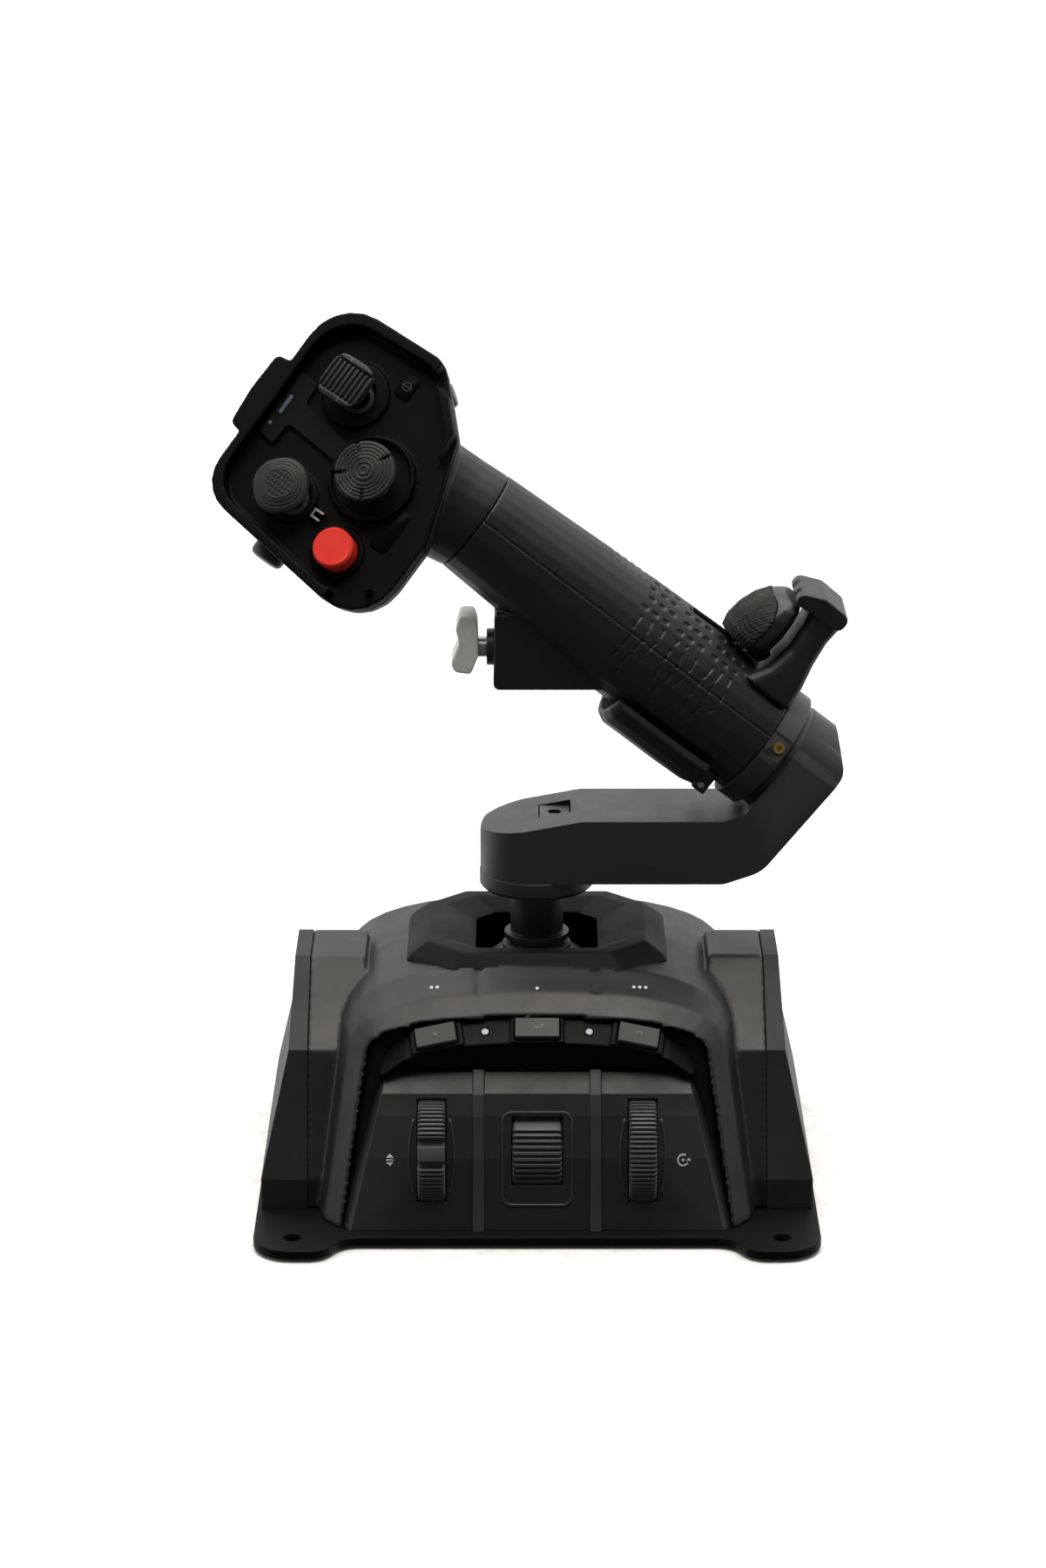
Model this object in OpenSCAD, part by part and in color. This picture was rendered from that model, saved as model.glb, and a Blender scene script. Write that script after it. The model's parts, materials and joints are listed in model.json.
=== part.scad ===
// Desk flight joystick: a square base with a two-axis gimbal, a bent arm and a grip with a control head.
// The origin is the centre of the base plate's underside, +Z is up and the control panel faces -Y.

/* [Base] */
// Width and depth of the base plate across its screw ears
plate_w = 200; // [196:1:204]
// Thickness of the base plate
plate_t = 3.3; // [2.5:0.1:4]
// Distance between the ear screw holes along X
ear_pitch_x = 172; // [168:1:174]
// Distance between the ear screw holes along Y
ear_pitch_y = 175; // [172:1:177]
// Radius of the ear screw holes
ear_hole_r = 3.3; // [2.5:0.1:4]
// Half width of the dome where its straight flanks begin
dome_half_w = 70; // [68:1:71]
// Height of the dome's crown
dome_top = 89; // [88:0.5:90]
// Wall thickness of the moulded base parts
wall = 2.5; // [2:0.1:3]
// Half width of the base between the seams of its side covers
seam_x = 82; // [81:0.5:83]
// Height of the side covers
cover_top = 82.5; // [80:0.5:84]
// Thickness of the rubber feet
foot_t = 1.2; // [1:0.1:2]

/* [Gimbal] */
// Height of the point where both gimbal axes cross
gimbal_z = 58; // [56:1:60]
// Radius of the stick's shaft
shaft_r = 9.6; // [9:0.1:10]
// Radial clearance of every running fit
fit = 0.05; // [0.02:0.01:0.1]

/* [Arm] */
// Width of the bent arm
arm_w = 40; // [36:1:42]
// Height of the arm's underside
arm_bottom = 111.4; // [110:0.2:113]
// Height of the arm's flat top
arm_top = 135; // [132:0.5:137]

/* [Grip] */
// Angle of the grip above the horizontal
grip_angle = 37.5; // [36:0.5:39]
// Distance of the grip's foot from the shaft's axis
grip_x = 87; // [86:0.5:88]
// Height of the grip's foot
grip_z = 154; // [153:0.5:155]
// Length from the arm to the seam under the head
grip_len = 139.5; // [136:0.5:142]
// Wall thickness of the grip shells
grip_wall = 2.4; // [2:0.1:3]
// Distance of the shells' seam from the grip's axis
seam_q = 8; // [6:0.5:10]

/* [Head] */
// Height of the raised rim round the head's face
rim_h = 6; // [4:0.5:8]
// Thickness of the raised rim
rim_t = 3.7; // [3:0.1:5]
// Thickness of the head's face
face_t = 6; // [5:0.5:7]
// Depth of the head behind its face
head_depth = 30; // [28:1:34]

/* [Controls] */
// Radius of the left and right wheels
wheel_r = 20; // [19:0.5:20.5]
// Radius of the throttle roller
roller_r = 15; // [14:0.5:15.5]
// Gap round every button and wheel
gap = 0.35; // [0.3:0.05:0.4]

/* [Hidden] */

$fn = 48;
black = "#1b1b1d";
dark = "#2a2b2e";
grey = "#4b4f50";
steel = "#8c8f94";
silver = "#b9bbb9";
brass = "#b58a3a";
rubber = "#222222";
board_green = "#1f5b3a";
red = "#e03a24";
lens_blue = "#7d8aa0";
eps = 0.02;

// ---------------------------------------------------------------- helpers

function unit(v) = v / norm(v);

// Points along an arc of radius r round c, from angle a0 to a1.
function arc(c, r, a0, a1, steps) =
    [for (k = [0:steps]) let (a = a0 + (a1 - a0) * k / steps) c + r * [cos(a), sin(a)]];

// The difference of two angles, brought into -180..180.
function turn(a) = a - 360 * floor((a + 180) / 360);

// One rounded corner at p between the neighbours a and b.
function corner(a, p, b, r, steps) =
    let (u = unit(a - p))
    let (v = unit(b - p))
    let (half = acos(u * v) / 2)
    let (o = p + unit(u + v) * r / sin(half))
    let (s = p + u * r / tan(half) - o)
    let (e = p + v * r / tan(half) - o)
    let (a0 = atan2(s.y, s.x))
    arc(o, r, a0, a0 + turn(atan2(e.y, e.x) - a0), steps);

// A closed outline from corners given as [x, y, radius].
function rounded(c, steps = 6) = [
    for (i = [0:len(c) - 1])
    let (n = len(c))
    let (p = [c[i].x, c[i].y])
    let (a = c[(i + n - 1) % n])
    let (b = c[(i + 1) % n])
    each (c[i].z == 0 ? [p] : corner([a.x, a.y], p, [b.x, b.y], c[i].z, steps))
];

function quad(a, b, c, d) = [[c, b, a], [d, c, a]];

// A closed solid skinned through rings of points. Each ring is convex and runs anticlockwise.
module loft(rings) {
    n = len(rings[0]);
    last = (len(rings) - 1) * n;
    sides = [
        for (j = [0:len(rings) - 2], i = [0:n - 1])
        let (k = (i + 1) % n)
        each quad(j * n + i, j * n + k, (j + 1) * n + k, (j + 1) * n + i)
    ];
    hub = floor(n / 2);
    first_cap = [for (i = [1:n - 2]) [(hub + i) % n, (hub + i + 1) % n, hub]];
    last_cap = [for (i = [1:n - 2]) [last + (hub + i + 1) % n, last + (hub + i) % n, last + hub]];
    polyhedron(points = [for (r = rings) each r], faces = concat(sides, first_cap, last_cap));
}

// A closed shell between two grids of points of the same size.
module shell_between(outer, inner) {
    rows = len(outer);
    cols = len(outer[0]);
    count = rows * cols;
    points = concat([for (r = outer) each r], [for (r = inner) each r]);
    skins = [
        for (j = [0:rows - 2], i = [0:cols - 2])
        let (a = j * cols + i)
        let (b = a + 1)
        let (c = b + cols)
        let (d = a + cols)
        each concat(quad(a, b, c, d), quad(count + a, count + d, count + c, count + b))
    ];
    row_edges = [
        for (i = [0:cols - 2])
        let (a = i)
        let (d = (rows - 1) * cols + i)
        each concat(quad(a + 1, a, count + a, count + a + 1), quad(d, d + 1, count + d + 1, count + d))
    ];
    col_edges = [
        for (j = [0:rows - 2])
        let (a = j * cols)
        let (d = a + cols)
        let (b = a + cols - 1)
        let (c = b + cols)
        each concat(quad(a, d, count + d, count + a), quad(c, b, count + b, count + c))
    ];
    polyhedron(points = points, faces = concat(skins, row_edges, col_edges));
}

module mirrored_x() {
    children();
    mirror([1, 0, 0]) children();
}

module at_corners(x, y) {
    for (sx = [-1, 1], sy = [-1, 1]) translate([sx * x, sy * y, 0]) children();
}

// A tube along +Z with its lower end at z = 0.
module tube(r_out, r_in, h) {
    difference() {
        cylinder(r = r_out, h = h);
        translate([0, 0, -1]) cylinder(r = r_in, h = h + 2);
    }
}

module along_x() {
    rotate([0, 90, 0]) children();
}

module along_y() {
    rotate([-90, 0, 0]) children();
}

// A cross-section drawn as [y, z] and extruded along X from x0 to x1.
module extrude_x(outline, x0, x1) {
    translate([x0, 0, 0]) rotate([90, 0, 90]) linear_extrude(x1 - x0) polygon(outline);
}

// A cross-section drawn as [x, z] and extruded along Y, centred on y = 0.
module extrude_y(outline, depth) {
    rotate([90, 0, 0]) linear_extrude(depth, center = true) polygon(outline);
}

// A coil spring drawn as closed turns along +Z, held together by a thin web.
module coil(coil_r, wire_r, turns, pitch) {
    rotate_extrude() {
        for (k = [0:turns - 1]) translate([coil_r, k * pitch]) circle(wire_r, $fn = 16);
        translate([coil_r - wire_r * 0.4, 0]) square([wire_r * 0.8, (turns - 1) * pitch]);
    }
}

// A screw with its head's underside at z = 0 and its shank along -Z.
module screw(shank_r, shank_len, head_r, head_h) {
    difference() {
        union() {
            translate([0, 0, -shank_len]) cylinder(r = shank_r, h = shank_len + eps);
            cylinder(r = head_r, h = head_h);
        }
        translate([0, 0, head_h * 0.4]) cylinder(r = head_r * 0.45, h = head_h, $fn = 6);
    }
}

// ---------------------------------------------------------------- base

ear_x = ear_pitch_x / 2;
ear_y = ear_pitch_y / 2;
plate_half = plate_w / 2;
front_edge = 88;
ear_in = 68;
boss_x = 73;
boss_y = 40;
boss_h = 16;
screw_r = 1.5;
foot_r = 9;
foot_xy = 66;

module base_plate() {
    quarter = [
        [0, front_edge, 0], [ear_in, front_edge, 9], [ear_in + 7, plate_half, 9],
        [plate_half, plate_half, 13.5], [plate_half, 0, 0], [0, 0, 0]
    ];
    color(black) difference() {
        for (sx = [0, 1], sy = [0, 1]) {
            mirror([sx, 0, 0]) mirror([0, sy, 0]) linear_extrude(plate_t) polygon(rounded(quarter, 8));
        }
        at_corners(ear_x, ear_y) translate([0, 0, -1]) cylinder(r = ear_hole_r, h = plate_t + 2);
        at_corners(boss_x, boss_y) {
            translate([0, 0, -1]) cylinder(r = screw_r, h = plate_t + 2);
            translate([0, 0, -1]) cylinder(r = 3.2, h = 2.6);
        }
    }
}

module rubber_feet() {
    color(rubber) at_corners(foot_xy, foot_xy) translate([0, 0, -foot_t]) cylinder(r = foot_r, h = foot_t);
}

module plate_screws() {
    color(steel) at_corners(boss_x, boss_y) translate([0, 0, 1.6]) mirror([0, 0, 1])
        screw(screw_r, 12, 3, 1.4);
}

// The dome's cross-section: straight flanks that flare to the foot, then a rounded crown.
crown_z = 62;
crown_power = 2 / 2.5;
foot_x = 79;
flank_levels = [20, 42];
crown_steps = 9;

function flank(half, z) = half + (foot_x - dome_half_w) * (crown_z - z) / (crown_z - plate_t);

function half_section(half, top, inset, low) = concat(
    [for (z = concat([low], flank_levels)) [flank(half, z) - inset, z]],
    [
        for (k = [0:crown_steps])
        let (a = 90 * k / crown_steps)
        [(half - inset) * pow(cos(a), crown_power),
        crown_z + (top - inset - crown_z) * pow(sin(a), crown_power)]
    ]
);

function mirrored(half) = concat([for (p = half) [-p.x, p.y]], [for (k = [len(half) - 2:-1:0]) half[k]]);

// The base's ends lean inwards: y at the height z of the station whose y at the crown is s.
lean = 0.41;
crown_ref = 82;
function leaned(s, z) = s * (1 + lean * (crown_ref - z) / crown_ref);

function dome_row(s, half, top, inset, low) =
    [for (p = mirrored(half_section(half, top, inset, low))) [p.x, leaned(s, p.y), p.y]];

rim_s = 52;
rim_in_half = 61;
rim_in_top = 76;
crown_edge = 40;

// The dome's stations from front to back: [y at the crown, half width, top].
dome_stations = [
    [-57.5, rim_in_half, rim_in_top], [-rim_s, dome_half_w - 3, dome_top - 7],
    [-46, dome_half_w - 1, dome_top - 4.5],
    [-crown_edge, dome_half_w, dome_top - 1.5], [0, dome_half_w, dome_top],
    [crown_edge, dome_half_w, dome_top - 1.5], [47, dome_half_w - 1, dome_top - 5],
    [rim_s, dome_half_w - 5, dome_top - 10]
];

// The hollow's stations: it breaks through the front and stops a wall short of the rear.
hollow_stations = [
    [-61, rim_in_half - 1, rim_in_top - 1], [-51, dome_half_w - 3.4, dome_top - 7.4],
    [-crown_edge, dome_half_w, dome_top - 1.5],
    [0, dome_half_w, dome_top], [crown_edge - 1, dome_half_w, dome_top - 1.5],
    [rim_s - wall, dome_half_w - 5, dome_top - 9]
];

// The side blocks' and side covers' shared profile in Y and Z.
crease_z = 57.8;
crease_y = 46;
toe_z = 14.3;
toe_y = 61.5;
top_y = 14;

function side_profile() = [
    [toe_y, plate_t], [toe_y, toe_z], [crease_y, crease_z], [top_y, cover_top],
    [-top_y, cover_top], [-crease_y, crease_z], [-toe_y, toe_z], [-toe_y, plate_t]
];

// The space inside each side block, which opens into the dome's hollow.
block_space = [
    [toe_y - wall, plate_t - 1], [toe_y - wall, toe_z], [crease_y - wall, crease_z - 1], [27, 70],
    [-27, 70], [-crease_y + wall, crease_z - 1], [-toe_y + wall, toe_z], [-toe_y + wall, plate_t - 1]
];

boss_gap = 0.2;
usb_z = 15.5;
usb_w = 12;
usb_h = 11;
bezel_in = 28;
groove_x = 20.7;
screw_z = 25;
cover_screw_y = 30;

module base_shell() {
    color(black) difference() {
        union() {
            difference() {
                union() {
                    loft([for (s = dome_stations) dome_row(s.x, s.y, s.z, 0, plate_t)]);
                    mirrored_x() extrude_x(side_profile(), seam_x - 20, seam_x);
                }
                loft([for (s = hollow_stations) dome_row(s.x, s.y, s.z, wall, plate_t - 3)]);
                mirrored_x() extrude_x(block_space, seam_x - 22, seam_x - wall);
            }
            at_corners(boss_x, boss_y) translate([0, 0, plate_t + boss_gap]) cylinder(r = 4, h = boss_h);
            mirrored_x() for (sy = [-1, 1]) {
                translate([boss_x + 2, sy * boss_y - 1, plate_t + boss_gap + 1]) {
                    cube([seam_x - wall - boss_x - 1, 2, boss_h - 2]);
                }
            }
        }
        bezel_block(fit);
        translate([-usb_w / 2 - gap, 60, usb_z - usb_h / 2 - gap])
            cube([usb_w + 2 * gap, 20, usb_h + 2 * gap]);
        at_corners(boss_x, boss_y) cylinder(r = screw_r, h = plate_t + 12);
        for (sy = [-1, 1]) {
            translate([-seam_x - 1, sy * cover_screw_y, screw_z]) along_x()
                cylinder(r = screw_r, h = 2 * seam_x + 2);
        }
        for (sx = [-1, 1]) translate([sx * groove_x, 0, 0]) groove_blade();
    }
}

// A thin blade that follows the crown's profile along Y, for the two grooves.
module groove_blade() {
    edge = [[-rim_s, 80.8], [-crown_edge, 86], [0, 87.4], [crown_edge, 86], [46, 83], [rim_s, 75]];
    extrude_x(concat(edge, [[rim_s, 99], [-rim_s, 99]]), -1.5, 1.5);
}

// ---------------------------------------------------------------- side covers

cover_levels = [
    [plate_t, toe_y, 98.5], [toe_z, toe_y, 98.5], [crease_z, crease_y, 88.8], [cover_top, top_y, 87.5]
];

function cover_ring(level, x_in, inset) = [
    [x_in, -level.y + inset, level.x], [level.z - inset, -level.y + inset, level.x],
    [level.z - inset, level.y - inset, level.x], [x_in, level.y - inset, level.x]
];

module side_cover() {
    top = cover_levels[3];
    low = cover_levels[0];
    difference() {
        loft([for (l = cover_levels) cover_ring(l, seam_x, 0)]);
        loft([
            cover_ring([low.x - 1, low.y, low.z], seam_x - 1, wall),
            cover_ring(cover_levels[1], seam_x - 1, wall),
            cover_ring(cover_levels[2], seam_x - 1, wall),
            cover_ring([top.x - wall, top.y + 1, top.z], seam_x - 1, wall)
        ]);
    }
    for (sy = [-1, 1]) {
        translate([seam_x, sy * cover_screw_y, screw_z]) along_x() tube(3.5, screw_r, 12);
    }
}

module side_cover_right() {
    color(black) side_cover();
}

module side_cover_left() {
    color(black) mirror([1, 0, 0]) side_cover();
}

module cover_screws() {
    color(steel) mirrored_x() for (sy = [-1, 1]) {
        translate([seam_x - wall, sy * cover_screw_y, screw_z]) rotate([0, -90, 0])
            screw(screw_r, 11, 3, 2);
    }
}

// ---------------------------------------------------------------- control panel

// The panel's front from its foot to its top: [y, z].
panel_profile = [[-81.8, plate_t], [-79, 14], [-75, 28], [-69.5, 42], [-66, 49], [-60, 55]];
panel_foot_half = 66;
panel_top_half = 53.5;
rib_w = 4;
wheel_x = 37.3;
wheel_w = 9.7;
roller_w = 17.4;
axle = [-64, 27];
axle_r = 2;
panel_top_z = 55;
panel_z_span = panel_top_z - plate_t;

function panel_half(z) = panel_foot_half - (panel_foot_half - panel_top_half) * (z - plate_t) / panel_z_span;

function panel_row(p, inset) = [
    for (side = [[-1, 9, 5.5], [-1, 0, 0], [1, 0, 0], [1, 9, 5.5]])
    [side.x * (panel_half(p.y) + side.z - inset), p.x + side.y + inset, p.y]
];

module panel_rib(x) {
    back = [for (k = [len(panel_profile) - 1:-1:0]) [panel_profile[k].x + 1.5, panel_profile[k].y]];
    front = [for (p = panel_profile) [p.x - 1.2, p.y + (p.y > 50 ? 1.4 : 0)]];
    extrude_x(concat(front, back), x - rib_w / 2, x + rib_w / 2);
}

module front_panel() {
    color(black) difference() {
        union() {
            shell_between([for (p = panel_profile) panel_row(p, 0)],
                [for (p = panel_profile) panel_row(p, 2)]);
            panel_rib(groove_x);
            panel_rib(-groove_x);
        }
        for (x = [-wheel_x, wheel_x]) {
            translate([x - wheel_w / 2 - gap, axle.x, axle.y]) along_x()
                cylinder(r = wheel_r + 0.6, h = wheel_w + 2 * gap);
        }
        translate([-roller_w / 2 - gap, axle.x, axle.y]) along_x()
            cylinder(r = roller_r + 0.8, h = roller_w + 2 * gap);
    }
}

// ---------------------------------------------------------------- function buttons

// The button strip's section outside and inside: [y, height over the arch].
strip_outer = [[-57.5, 0], [-65, -6.5], [-63.8, -8.3], [-58.6, -9.6], [-58.6, -20]];
strip_inner = [[-56.6, -1.8], [-62.4, -6.8], [-62, -7.2], [-56.8, -8.2], [-56.8, -20]];
strip_half = 56;
strip_cols = 12;
strip_tilt = 49.1;
button_d = 7.6;
side_button_x = 35.5;
side_button_roll = 12;
lens_x = 18.4;

// Height of the arch's inner edge at a distance x from the middle.
arch_drop = 1.9;
arch_half = rim_in_half - arch_drop;
arch_rise = rim_in_top - arch_drop - crown_z + 12;
function arch_z(x) = crown_z - 12 + arch_rise * pow(1 - pow(abs(x) / arch_half, 2.6), 1 / 2.6);

function strip_row(r) = [
    for (k = [0:strip_cols])
    let (x = strip_half - 2 * strip_half * k / strip_cols)
    [x, r.x, arch_z(x) + r.y]
];

module on_strip(x, roll) {
    translate([x, -61.25, arch_z(x) - 3.25]) rotate([0, roll, 0]) rotate([90 - strip_tilt, 0, 0])
        children();
}

module button_at(k) {
    on_strip(k * side_button_x, k * side_button_roll) children();
}

module button_strip() {
    color(dark) difference() {
        union() {
            shell_between([for (r = strip_outer) strip_row(r)], [for (r = strip_inner) strip_row(r)]);
            for (k = [-1, 0, 1]) button_at(k) translate([-9.4, -5, -1]) cube([18.8, 9.6, 2]);
        }
        for (k = [-1, 0, 1]) {
            w = k == 0 ? 15.6 : 14.3;
            button_at(k) translate([-w / 2 - gap, -button_d / 2 - gap, -12])
                cube([w + 2 * gap, button_d + 2 * gap, 20]);
        }
        for (x = [-lens_x, lens_x]) on_strip(x, 0) translate([0, 0, -4]) cylinder(r = 1.4, h = 8);
        translate([-seam_x, -seam_x, 0]) cube([2 * seam_x, seam_x, panel_top_z + gap]);
    }
}

module strip_lenses() {
    color(lens_blue) for (x = [-lens_x, lens_x]) on_strip(x, 0) translate([0, 0, -2])
        cylinder(r = 1.4, h = 2.5);
}

module function_button(k, w) {
    color(grey) button_at(k) {
        translate([-w / 2, -button_d / 2, -4]) cube([w, button_d, 7]);
        translate([-2, -2, -7]) cube([4, 4, 3.5]);
    }
}

module button_left() {
    function_button(-1, 14.3);
}

module button_centre() {
    function_button(0, 15.6);
}

module button_right() {
    function_button(1, 14.3);
}

// ---------------------------------------------------------------- panel wheels

module wheel_at(x, w) {
    translate([x - w / 2, axle.x, axle.y]) along_x() children();
}

// A wheel body with ribs cut all round its rim.
module ribbed_wheel(r, w, ribs, depth) {
    difference() {
        cylinder(r = r, h = w);
        translate([0, 0, -1]) cylinder(r = axle_r + fit, h = w + 2);
        for (k = [0:ribs - 1]) {
            rotate([0, 0, 360 * k / ribs]) translate([r - depth, -0.45, -1]) cube([depth + 1, 0.9, w + 2]);
        }
    }
}

module spring_wheel() {
    color(grey) wheel_at(-wheel_x, wheel_w) difference() {
        union() {
            difference() {
                cylinder(r = wheel_r - 1.2, h = wheel_w);
                for (side = [-1, 1]) {
                    rotate([0, 0, 195 + side * 19]) translate([wheel_r + 3.4, 0, -1])
                        cylinder(r = 7, h = wheel_w + 2);
                }
            }
            for (side = [-1, 1], k = [0:4]) {
                rotate([0, 0, 195 + side * (34 + 4.5 * k)]) translate([wheel_r - 3, -0.5, 0])
                    cube([2.6, 1, wheel_w]);
            }
            rotate([0, 0, 195]) translate([wheel_r - 4, -2, 0]) cube([4, 4, wheel_w]);
        }
        translate([0, 0, -1]) cylinder(r = axle_r + fit, h = wheel_w + 2);
    }
}

module encoder_wheel() {
    color(grey) wheel_at(wheel_x, wheel_w) ribbed_wheel(wheel_r, wheel_w, 48, 1.1);
}

module throttle_roller() {
    edge = 0.4;
    color(grey) wheel_at(0, roller_w) difference() {
        union() {
            cylinder(r = roller_r - 1.5, h = roller_w);
            for (k = [0:6]) {
                rotate([0, 0, 215 - 9.5 * k]) translate([roller_r - 3, -0.6, edge])
                    cube([3, 1.2, roller_w - 2 * edge]);
            }
            rotate([0, 0, 229]) translate([roller_r - 4, -1.8, edge]) cube([4.4, 3.6, roller_w - 2 * edge]);
        }
        translate([0, 0, -1]) cylinder(r = axle_r + fit, h = roller_w + 2);
    }
}

bracket_t = 3;
bracket_xs = [-48, -30, -14.5, 11.5, 27, 45];

module wheel_bracket() {
    color(dark) {
        difference() {
            for (x = bracket_xs) {
                translate([x, axle.x - 6, plate_t]) cube([bracket_t, 22, axle.y + 5 - plate_t]);
            }
            translate([-60, axle.x, axle.y]) along_x() cylinder(r = axle_r, h = 120);
        }
        translate([bracket_xs[0], -42.3, plate_t]) cube([bracket_xs[5] + bracket_t - bracket_xs[0], 3, 7]);
        for (x = bracket_xs) translate([x, axle.x + 16 - eps, plate_t]) cube([bracket_t, 6, 7]);
    }
}

module wheel_axles() {
    color(steel) for (k = [0, 2, 4]) {
        translate([bracket_xs[k], axle.x, axle.y]) along_x() {
            cylinder(r = axle_r, h = bracket_xs[k + 1] + bracket_t - bracket_xs[k]);
        }
    }
}

// ---------------------------------------------------------------- circuit boards and socket

board_t = 1.6;

module main_board() {
    color(board_green) difference() {
        union() {
            translate([-36, 26, 8]) cube([72, 34, board_t]);
            for (x = [-32, 32], y = [30, 56]) translate([x, y, plate_t])
                cylinder(r = 2.5, h = 8 - plate_t + eps);
        }
        for (x = [-32, 32], y = [30, 56]) translate([x, y, plate_t - 1]) cylinder(r = 1, h = 8);
    }
    color(dark) {
        translate([-18, 34, 8 + board_t]) cube([12, 12, 1.6]);
        translate([8, 36, 8 + board_t]) cube([8, 6, 1.4]);
    }
}

module panel_board() {
    color(board_green) translate([-50, -38.8, plate_t]) cube([100, board_t, 44]);
    color(dark) translate([-10, -38.8 + board_t, 30]) cube([20, 3, 5]);
}

module usb_socket() {
    color(silver) difference() {
        translate([-usb_w / 2, 56.5, usb_z - usb_h / 2]) cube([usb_w, 13, usb_h]);
        translate([-4.3, 58, usb_z - 4]) cube([8.6, 14, 8]);
    }
    color(silver) translate([-usb_w / 2, 56.5, 8 + board_t])
        cube([usb_w, 3.4, usb_z - usb_h / 2 - 8 - board_t + eps]);
}

// ---------------------------------------------------------------- gimbal

// An eight-sided ring of points with half widths x and y and corner cuts c.
function octagon(x, y, c, z) = [
    [x, -y + c, z], [x, y - c, z], [x - c, y, z], [-x + c, y, z],
    [-x, y - c, z], [-x, -y + c, z], [-x + c, -y, z], [x - c, -y, z]
];

bezel_z = 86;
bezel_h = 4.6;
throat = 21;

// The bezel's outer form, grown for the seat that the shell leaves for it.
module bezel_block(grow) {
    loft([
        octagon(47 + grow, 40 + grow, 16, bezel_z - 2 - grow),
        octagon(45.5 + grow, 38.5 + grow, 15.5, bezel_z),
        octagon(40 + grow, 35 + grow, 13.5, bezel_z + bezel_h - 0.6),
        octagon(39 + grow, 34 + grow, 13, bezel_z + bezel_h + grow)
    ]);
}

module gimbal_bezel() {
    color(black) difference() {
        bezel_block(0);
        loft([octagon(throat, throat, 6, bezel_z - 0.4), octagon(33, 29, 10, bezel_z + bezel_h + eps)]);
        translate([0, 0, bezel_z - 6]) linear_extrude(12) polygon(rounded([
            [throat, throat, 8], [-throat, throat, 8], [-throat, -throat, 8], [throat, -throat, 8]
        ]));
        translate([0, 0, bezel_z - 3]) linear_extrude(3)
            square([2 * bezel_in - 2, 2 * bezel_in - 6], center = true);
    }
}

yoke_in_x = 18;
yoke_out_x = 26;
yoke_in_y = 17;
yoke_out_y = 25;
yoke_half_h = 10;
upright_x = 30;
upright_t = 8;
pitch_pin_r = 5;
roll_pin_r = 4;
pitch_race_r = 9.5;
roll_race_r = 8;
coil_wire = 0.9;

module gimbal_frame() {
    color(steel) difference() {
        union() {
            translate([-46, -22, plate_t]) cube([92, 44, 5]);
            mirrored_x() {
                translate([upright_x, -14, plate_t]) cube([upright_t, 28, gimbal_z - plate_t]);
                translate([upright_x, 0, gimbal_z]) along_x() cylinder(r = 14, h = upright_t);
                translate([upright_x + upright_t - eps, -2, plate_t]) cube([7, 4, 22]);
            }
        }
        mirrored_x() translate([upright_x - 1, 0, gimbal_z]) along_x()
            cylinder(r = pitch_race_r, h = upright_t + 2);
    }
}

module frame_bearings() {
    color(silver) mirrored_x() translate([upright_x, 0, gimbal_z]) along_x() {
        tube(pitch_race_r, pitch_pin_r + fit, upright_t);
    }
}

module pitch_springs() {
    color(steel) mirrored_x() translate([upright_x + upright_t + 1.4, 0, gimbal_z]) along_x() {
        coil(7.4, coil_wire, 3, 2.3 * coil_wire);
    }
    color(steel) mirrored_x() translate([upright_x + upright_t + 1.4, 7.4, gimbal_z - 14]) {
        cylinder(r = coil_wire * 0.7, h = 14);
    }
}

module pitch_yoke() {
    color(dark) difference() {
        union() {
            translate([-yoke_out_x, -yoke_out_y, gimbal_z - yoke_half_h]) {
                cube([2 * yoke_out_x, 2 * yoke_out_y, 2 * yoke_half_h]);
            }
            mirrored_x() translate([yoke_out_x - 1, 0, gimbal_z]) along_x()
                cylinder(r = pitch_pin_r, h = 21);
        }
        translate([-yoke_in_x, -yoke_in_y, gimbal_z - yoke_half_h - 1]) {
            cube([2 * yoke_in_x, 2 * yoke_in_y, 2 * yoke_half_h + 2]);
        }
        translate([0, -yoke_out_y - 1, gimbal_z]) along_y()
            cylinder(r = roll_race_r, h = 2 * yoke_out_y + 2);
    }
}

module yoke_bearings() {
    color(silver) for (y = [-yoke_out_y, yoke_in_y]) {
        translate([0, y, gimbal_z]) along_y() tube(roll_race_r, roll_pin_r + fit, yoke_out_y - yoke_in_y);
    }
}

module roll_springs() {
    color(steel) for (side = [0, 1]) mirror([0, side, 0]) {
        translate([0, yoke_out_y + 1, gimbal_z]) along_y() coil(6.2, coil_wire, 2, 2.3 * coil_wire);
        translate([6.2, yoke_out_y + 1, gimbal_z - 8]) cylinder(r = coil_wire * 0.7, h = 8);
    }
}

block_half = 13;
block_half_h = 11;

module roll_block() {
    color(grey) difference() {
        union() {
            translate([-block_half, -block_half, gimbal_z - block_half_h]) {
                cube([2 * block_half, 2 * block_half, 2 * block_half_h]);
            }
            translate([0, -30.5, gimbal_z]) along_y() cylinder(r = roll_pin_r, h = 61);
            translate([0, 0, gimbal_z + block_half_h - eps]) cylinder(r = 12.4, h = 14);
        }
        translate([0, 0, gimbal_z - 20]) cylinder(r = shaft_r + fit, h = 60);
    }
}

shield_r = 26.5;
shield_t = 1.4;
// The shield's rim stays above the yoke at full roll.
shield_cut = 17.5;

module dust_shield() {
    color(grey) difference() {
        translate([0, 0, gimbal_z]) difference() {
            sphere(r = shield_r, $fn = 64);
            sphere(r = shield_r - shield_t, $fn = 64);
            translate([0, 0, shield_cut - shield_r])
                cube(2 * [shield_r + 1, shield_r + 1, shield_r], center = true);
        }
        translate([0, 0, gimbal_z]) cylinder(r = 12.4, h = 40);
    }
}

// ---------------------------------------------------------------- shaft and arm

shaft_low = 42;
shaft_high = 124;
flange_z = 85;

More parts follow.
